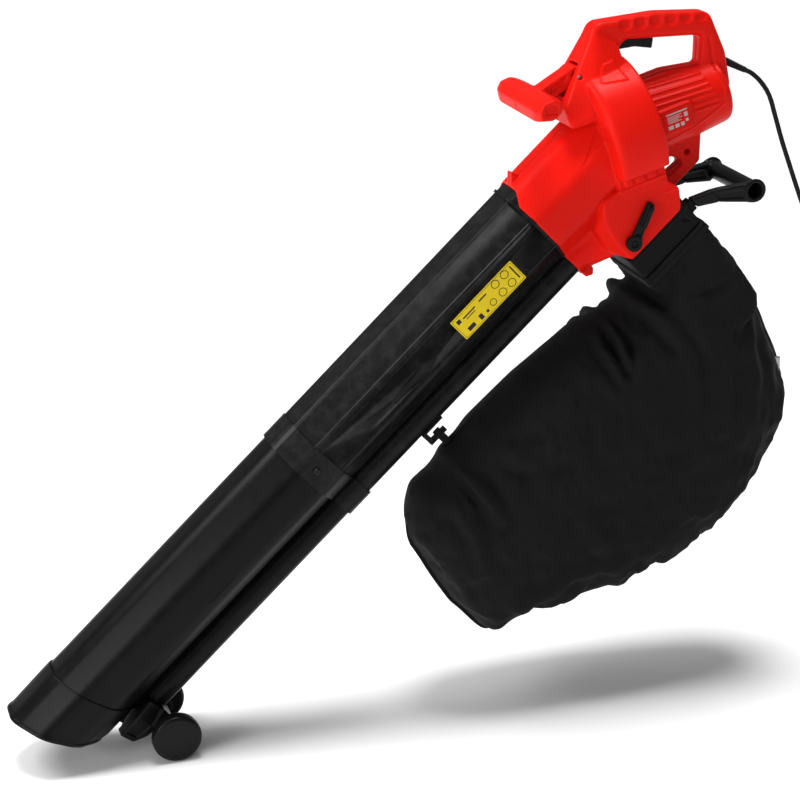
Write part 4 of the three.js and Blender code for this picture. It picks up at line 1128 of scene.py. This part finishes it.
def bag_form(step):
    """A pillow on the bag's outline, open into the neck below the collar."""
    form = Form(DATUM, (-12, -112, -362), (584, 112, 260), step)
    low, high = (-10, -110, -360), (580, 110, 200)

    def pillow(x, y, z):
        deep = np.maximum(-polygon_distance(BAG_OUTLINE, x, z) - 4, 0)
        swell = HALF_THICK * np.sqrt(np.clip(1 - (1 - np.minimum(deep / SWELL_WITHIN, 1)) ** 2, 0, 1))
        return (np.abs(y) - swell) * np.clip(deep / 60 + 0.25, 0, 1) ** 0.5 + np.where(deep > 0, 0, 4)
    form.add((low, high, pillow))
    neck = [(342, 60, 6), (446, 60, 6), (340, 72, -70), (436, 82, -90), (360, 88, -150), (425, 88, -150)]
    form.add(wedge([(x, y, BAG_TOP + z) for x, y, z in neck], 14), TUBE, 18)
    form.add(block(341, 447, -61, 61, BAG_TOP - 22, BAG_TOP + 6, 5), TUBE, 6)
    form.cut(block(200, 600, -200, 200, BAG_TOP, BAG_TOP + 200), TUBE, 0.5)
    return form


def make_bag():
    step = 6.5
    bag = place("bag_cloth", *bag_form(step).surface(), "fabric", "bag_unit", ("bag",))
    soften(bag, 4)
    inflate(bag)
    bag.modifiers.new("finer", "SUBSURF").levels = 1
    apply_modifiers(bag)
    crease(bag)
    bag.data.shade_smooth()
    return bag


def inflate(bag):
    """Cloth under a little pressure, its rest size larger than the form so that it buckles."""
    start = [v.co.copy() for v in bag.data.vertices]
    pins = bag.vertex_groups.new(name="pins")
    for v in bag.data.vertices:
        below = BAG_TOP - (TUBE.inverted() @ (v.co / MM)).z
        pins.add([v.index], min(1.0, max(0.0, (40 - below) / 30)), "REPLACE")
    cloth = bag.modifiers.new("cloth", "CLOTH")
    settings = {"quality": 6, "mass": 0.25, "tension_stiffness": 12, "compression_stiffness": 10,
                "bending_stiffness": 0.4, "use_pressure": True, "uniform_pressure_force": 4,
                "shrink_min": -0.012, "vertex_group_mass": "pins"}
    for key, value in settings.items():
        setattr(cloth.settings, key, value)
    cloth.settings.effector_weights.gravity = 0
    cloth.collision_settings.use_self_collision = False
    for step in range(1, CLOTH_STEPS + 1):
        scene.frame_set(step)
    apply_modifiers(bag)
    scene.frame_set(1)
    for v, at in zip(bag.data.vertices, start):
        move = v.co - at
        free = min(1.0, max(0.15, (abs(at.y) - 0.008) / 0.035))  # the sewn edge hardly moves
        v.co = at + move * (free * min(1.0, MOST_MOVE / max(move.length, 1e-6)))


# each fold's line, height and width, then the drawn-out corners: place, pull and reach
FOLDS = [
    ([(268, 150), (270, 129), (287, 80), (296, 40)], 6.0, 8),
    ([(286, 155), (312, 128), (347, 95), (385, 50)], 4.5, 12),
    ([(263, 95), (268, 58), (290, 20)], 4.0, 9),
    ([(85, -30), (76, -60), (73, -90), (100, -128), (118, -156)], 6.5, 11),
    ([(100, -60), (150, -75), (230, -60)], 3.5, 14),
    ([(380, 120), (420, 40), (430, -60)], 3.5, 16),
    ([(40, -120), (80, -170), (96, -230)], 4.0, 13),
    ([(200, -120), (260, -200), (300, -280)], 3.0, 18),
    ([(470, 90), (480, 0), (470, -80)], 3.0, 16),
    ([(150, -290), (220, -250), (300, -240)], 3.0, 16),
]
EARS = [(128, -342, -3, -11, 24), (62, -84, -10, 6, 22)]


def crease(bag):
    """Folds below the neck and at the strap, a slow unevenness, the corners, and the thickness limit."""
    co = np.empty(len(bag.data.vertices) * 3, np.float32)
    bag.data.vertices.foreach_get("co", co)
    grip = np.array(GRIP, np.float32)
    co = co.reshape(-1, 3) / MM + grip
    normals = np.array([v.normal[:] for v in bag.data.vertices])
    push = np.zeros(len(co))
    for line, height, width in FOLDS:
        away = np.full(len(co), 1e9)
        along = np.zeros(len(co))
        stretches = len(line) - 1
        for k, ((ax, az), (bx, bz)) in enumerate(zip(line, line[1:])):
            ex, ez = bx - ax, bz - az
            t = np.clip(((co[:, 0] - ax) * ex + (co[:, 2] - az) * ez) / (ex * ex + ez * ez), 0, 1)
            d = np.hypot(co[:, 0] - ax - t * ex, co[:, 2] - az - t * ez)
            closer = d < away
            away = np.where(closer, d, away)
            along = np.where(closer, (k + t) / stretches, along)
        fade = np.sin(np.pi * np.clip(along, 0.04, 0.96)) ** 0.5
        width *= 0.75
        valley = np.exp(-((away - 1.6 * width) / width) ** 2)
        push += 1.4 * height * (np.exp(-(away / width) ** 2) - 0.7 * valley) * fade
    slow = np.array([noise.noise(Vector(p) / 80) * 3.5 + noise.noise(Vector(p) / 30) * 1.6
                     + (0.5 - abs(noise.noise(Vector(p) / 46 + Vector((7, 0, 3))))) * 4.5
                     + (0.5 - abs(noise.noise(Vector((p[0], p[1] * 0.4, p[2] * 0.6)) / 21))) * 2.2
                     for p in co.tolist()])
    tube_z = np.array([(TUBE.inverted() @ DATUM @ Vector(p)).z for p in co])
    hold = np.clip((BAG_TOP - 4 - tube_z) / 30, 0, 1)
    flat = np.clip((np.abs(co[:, 1]) - 16) / 45, 0.05, 1)
    co += (normals * ((1.8 * push + 2.2 * slow) * flat * hold)[:, None]).astype(np.float32)
    for x, z, dx, dz, reach in EARS:
        near = np.exp(-((co[:, 0] - x) ** 2 + (co[:, 2] - z) ** 2) / reach ** 2)
        co[:, 0] += dx * near
        co[:, 2] += dz * near
    proud = np.maximum(np.abs(co[:, 1]) - THIN_FROM, 0)
    co[:, 1] -= np.sign(co[:, 1]) * (proud - proud / (1 + proud / THIN_BY))
    co = (co - grip) * MM
    bag.data.vertices.foreach_set("co", co.ravel())
    bag.data.update()


def edge_rows(bag):
    """Points on the bag's edge in the middle plane, from the neck's front round to its rear, each with its
    outward direction."""
    tree = BVHTree.FromObject(bag, bpy.context.evaluated_depsgraph_get())
    outline = [Vector(p) for p in BAG_OUTLINE]
    line = []
    for a, b in zip(outline, outline[1:] + outline[:1]):
        pieces = max(1, int((b - a).length / 6))
        line += [a.lerp(b, t / pieces) for t in range(pieces)]
    rows = []
    count = len(line)
    middle = Vector((300, -90))
    for k, p in enumerate(line):
        along = (line[(k + 2) % count] - line[k - 2]).normalized()
        out = Vector((along.y, -along.x))
        if out.dot(p - middle) < 0:
            out.negate()
        start = row(DATUM, (p.x + out.x * OUTSIDE, 0, p.y + out.y * OUTSIDE))
        hit = tree.ray_cast(start, Vector((-out.x, 0, -out.y)), LOOK_IN)[0]
        hidden = hit is None or (TUBE.inverted() @ (hit / MM)).z > BAG_TOP - EDGE_BELOW
        rows.append(None if hidden else (DATUM.inverted() @ (hit / MM), Vector((out.x, 0, out.y))))
    first = next(i for i in range(count) if rows[i] is None and rows[(i + 1) % count] is not None)
    rows = [r for r in (rows[(first + 1 + i) % count] for i in range(count - 1)) if r]
    points = [Vector(at) for at, _ in rows]
    for _ in range(3):
        eased = [(a + 2 * b + c) / 4 for a, b, c in zip(points, points[1:], points[2:])]
        points = [points[0]] + eased + [points[-1]]
    return [(at, out) for at, (_, out) in zip(points, rows)]


def make_edge_seam(rows):
    """The sewn edge stands a few millimetres off the bag and waves a little."""
    rings = []
    for i, (at, out) in enumerate(rows):
        wave = 1.6 * noise.noise(Vector((i * 0.11, 0, 3))) + 0.5 * noise.noise(Vector((i * 0.4, 5, 0)))
        reach = 5.5 + 1.2 * noise.noise(Vector((i * 0.07, 9, 0)))
        reach *= min(1.0, (i + 1) / 6, (len(rows) - i) / 6)
        profile = ((-9, -1.6), (-1, -1.1), (reach, -0.9), (reach, 0.9), (-1, 1.1), (-9, 1.6))
        rings.append([tuple(at + out * d + Vector((0, wave * max(d, 0) / 5 + w, 0))) for d, w in profile])
    carve("bag_edge_seam", loft(rings, DATUM), "fabric", "bag_unit")


def dense(rows, pitch):
    """The rows with more of them put between, a pitch apart."""
    out = []
    for (a, n), (b, m) in zip(rows, rows[1:]):
        pieces = max(1, round((b - a).length / pitch))
        out += [(a.lerp(b, t / pieces), n.lerp(m, t / pieces)) for t in range(pieces)]
    return out


def make_zip(rows):
    """The zip on the rear edge, its teeth as a ridged line beside the seam, with its slider."""
    rows = [(at, out) for at, out in rows if at.x > 470 and at.z > -215]  # the rear edge only
    rings = []
    for i, (at, out) in enumerate(dense(rows, 3)):
        r = 2.3 if i % 2 else 1.75
        rings.append([tuple(at + out * (1.5 + r * math.cos(t)) + Vector((0, -3.1 + r * 0.8 * math.sin(t), 0)))
                      for t in (k * math.pi / 4 for k in range(8))])
    carve("bag_zip", loft(rings, DATUM), "webbing", "bag_unit")
    at, out = min(rows, key=lambda r: abs(r[0].z + 7))
    turn = DATUM @ Matrix.Translation(at + out * 3 + Vector((0, -4, 0)))
    slider = Form(turn, (-9, -8, -28), (12, 8, 10), 0.6)
    slider.add(block(-4, 4, -2.6, 2.6, -6, 6, 1.2))
    slider.add(block(1.5, 4.5, -1.8, 1.8, -24, -3, 0.7), None, 0.6)
    slider.cut(rod_x(1.2, 0, 8, 0, -19.5, 0.2))
    slider.piece("zip_slider", "screw_steel", "bag_unit", (), 1)


def make_hem_and_tab():
    """The hem below the collar, and the strap's tab on the bag's front."""
    def ring(down, out):
        corners = rectangle(340 - out, 448 + out, -62 - out, 62 + out)
        return [(x, y, BAG_TOP - down) for x, y in rounded(corners, 6)]
    profile = [(0.5, 0.4), (1, 1.6), (4.6, 2.0), (5.2, 1.0), (6.2, 1.0), (6.8, 2.2), (13, 2.6), (13.6, -1),
               (0.5, -2)]
    hem = loft([ring(*at) for at in profile], TUBE, True)
    carve("bag_hem", hem, "webbing", "bag_unit")
    tab = [(112, -28), (92, -44), (76, -58), (69, -62), (62, -66), (60, -72), (66, -84), (72, -100),
           (100, -96)]
    carve("strap_tab", prism(rounded(tab, 3), -1.4, 1.4, DATUM), "fabric", "bag_unit", bevel=0.4)


def make_strap():
    """The strap's loop round the hook's finger."""
    loop = Form(TUBE, (-6, -10, -137), (11, 10, -112), SMALL * 0.5)
    loop.add(block(-3, 8, -8.6, 8.6, -134, -114.6, 1.4))
    loop.cut(block(-6, 11, -6.8, 6.8, -122.8, -116.2, 0.5), None, 0.3)
    loop.cut(block(-6, 11, -4, 4, -131, -126, 1), None, 0.3)
    loop.piece("strap_loop", "webbing", "machine", ("bag_strap",), 1)


# ---- stage ----
LIGHTS = [  # name, kind, place, size, power
    ("key", "SUN", (-0.3, 0.15, 3.2), 0.35, 2.9),
    ("back_left", "SUN", (-1.6, 1.2, 2.6), 0.5, 0.5),
    ("front", "AREA", (-1.9, -2.7, 1.2), 1.6, 8.0),
    ("strip", "AREA", (-1.9, 0.3, 0.9), 0.9, 26),
    ("side", "AREA", (-2.7, -1.3, 0.1), 1.0, 30),
]
FLOOR_REACH, FLOOR_GAP = 14, 0.0005


def make_stage():
    low, high = (Vector(v) for v in CAD_BOX)
    middle = (low + high) / 2
    n = Nodes("floor")
    grain = n.noise(300.0, 3.0)
    pale = (0.86, 0.86, 0.86, 1)
    floor_look = n.done(Base_Color=pale, Roughness=0.75, Normal=n.bump(grain, 0.05, 0.0002))
    mesh = bpy.data.meshes.new("floor")
    square = rectangle(-FLOOR_REACH, FLOOR_REACH, -FLOOR_REACH, FLOOR_REACH)
    corners = [(middle.x + u, v, low.z - FLOOR_GAP) for u, v in square]
    mesh.from_pydata(corners, [], [(0, 1, 2, 3)])
    floor = put("floor", mesh)
    mesh.materials.append(floor_look)
    make_world()
    for name, kind, at, size, power in LIGHTS:
        light = bpy.data.lights.new(name, kind)
        light.energy = power
        setattr(light, "angle" if kind == "SUN" else "size", size)
        face(put(name, light), at, middle)


def make_world():
    """A weak white light from all round; the camera sees plain white beyond the floor."""
    scene.world = bpy.data.worlds.new("world")
    scene.world.use_nodes = True
    tree = scene.world.node_tree
    lit = tree.nodes["Background"]
    seen = tree.nodes.new("ShaderNodeBackground")
    pick, path = tree.nodes.new("ShaderNodeMixShader"), tree.nodes.new("ShaderNodeLightPath")
    for background in (lit, seen):
        background.inputs["Color"].default_value = (1, 1, 1, 1)
    lit.inputs["Strength"].default_value = 0.2
    for a, b in ((path.outputs["Is Camera Ray"], pick.inputs[0]), (lit.outputs[0], pick.inputs[1]),
                 (seen.outputs[0], pick.inputs[2]), (pick.outputs[0], tree.nodes["World Output"].inputs[0])):
        tree.links.new(a, b)


# ---- the scene, camera and cord first ----
make_camera()
cord, cord_exit, cord_length = make_cord()
dress_cad()
housing()
make_tubes()
make_sleeve()
make_front_grip()
make_wheels()
make_lever()
make_collar()
make_carry_handle()
make_trigger()
on_cord = make_cable_ends()
make_screws()
make_labels()
make_strap()
bag_edge = edge_rows(make_bag())
make_edge_seam(bag_edge)
make_zip(bag_edge)
make_hem_and_tab()
make_stage()
tuple(cord_exit)
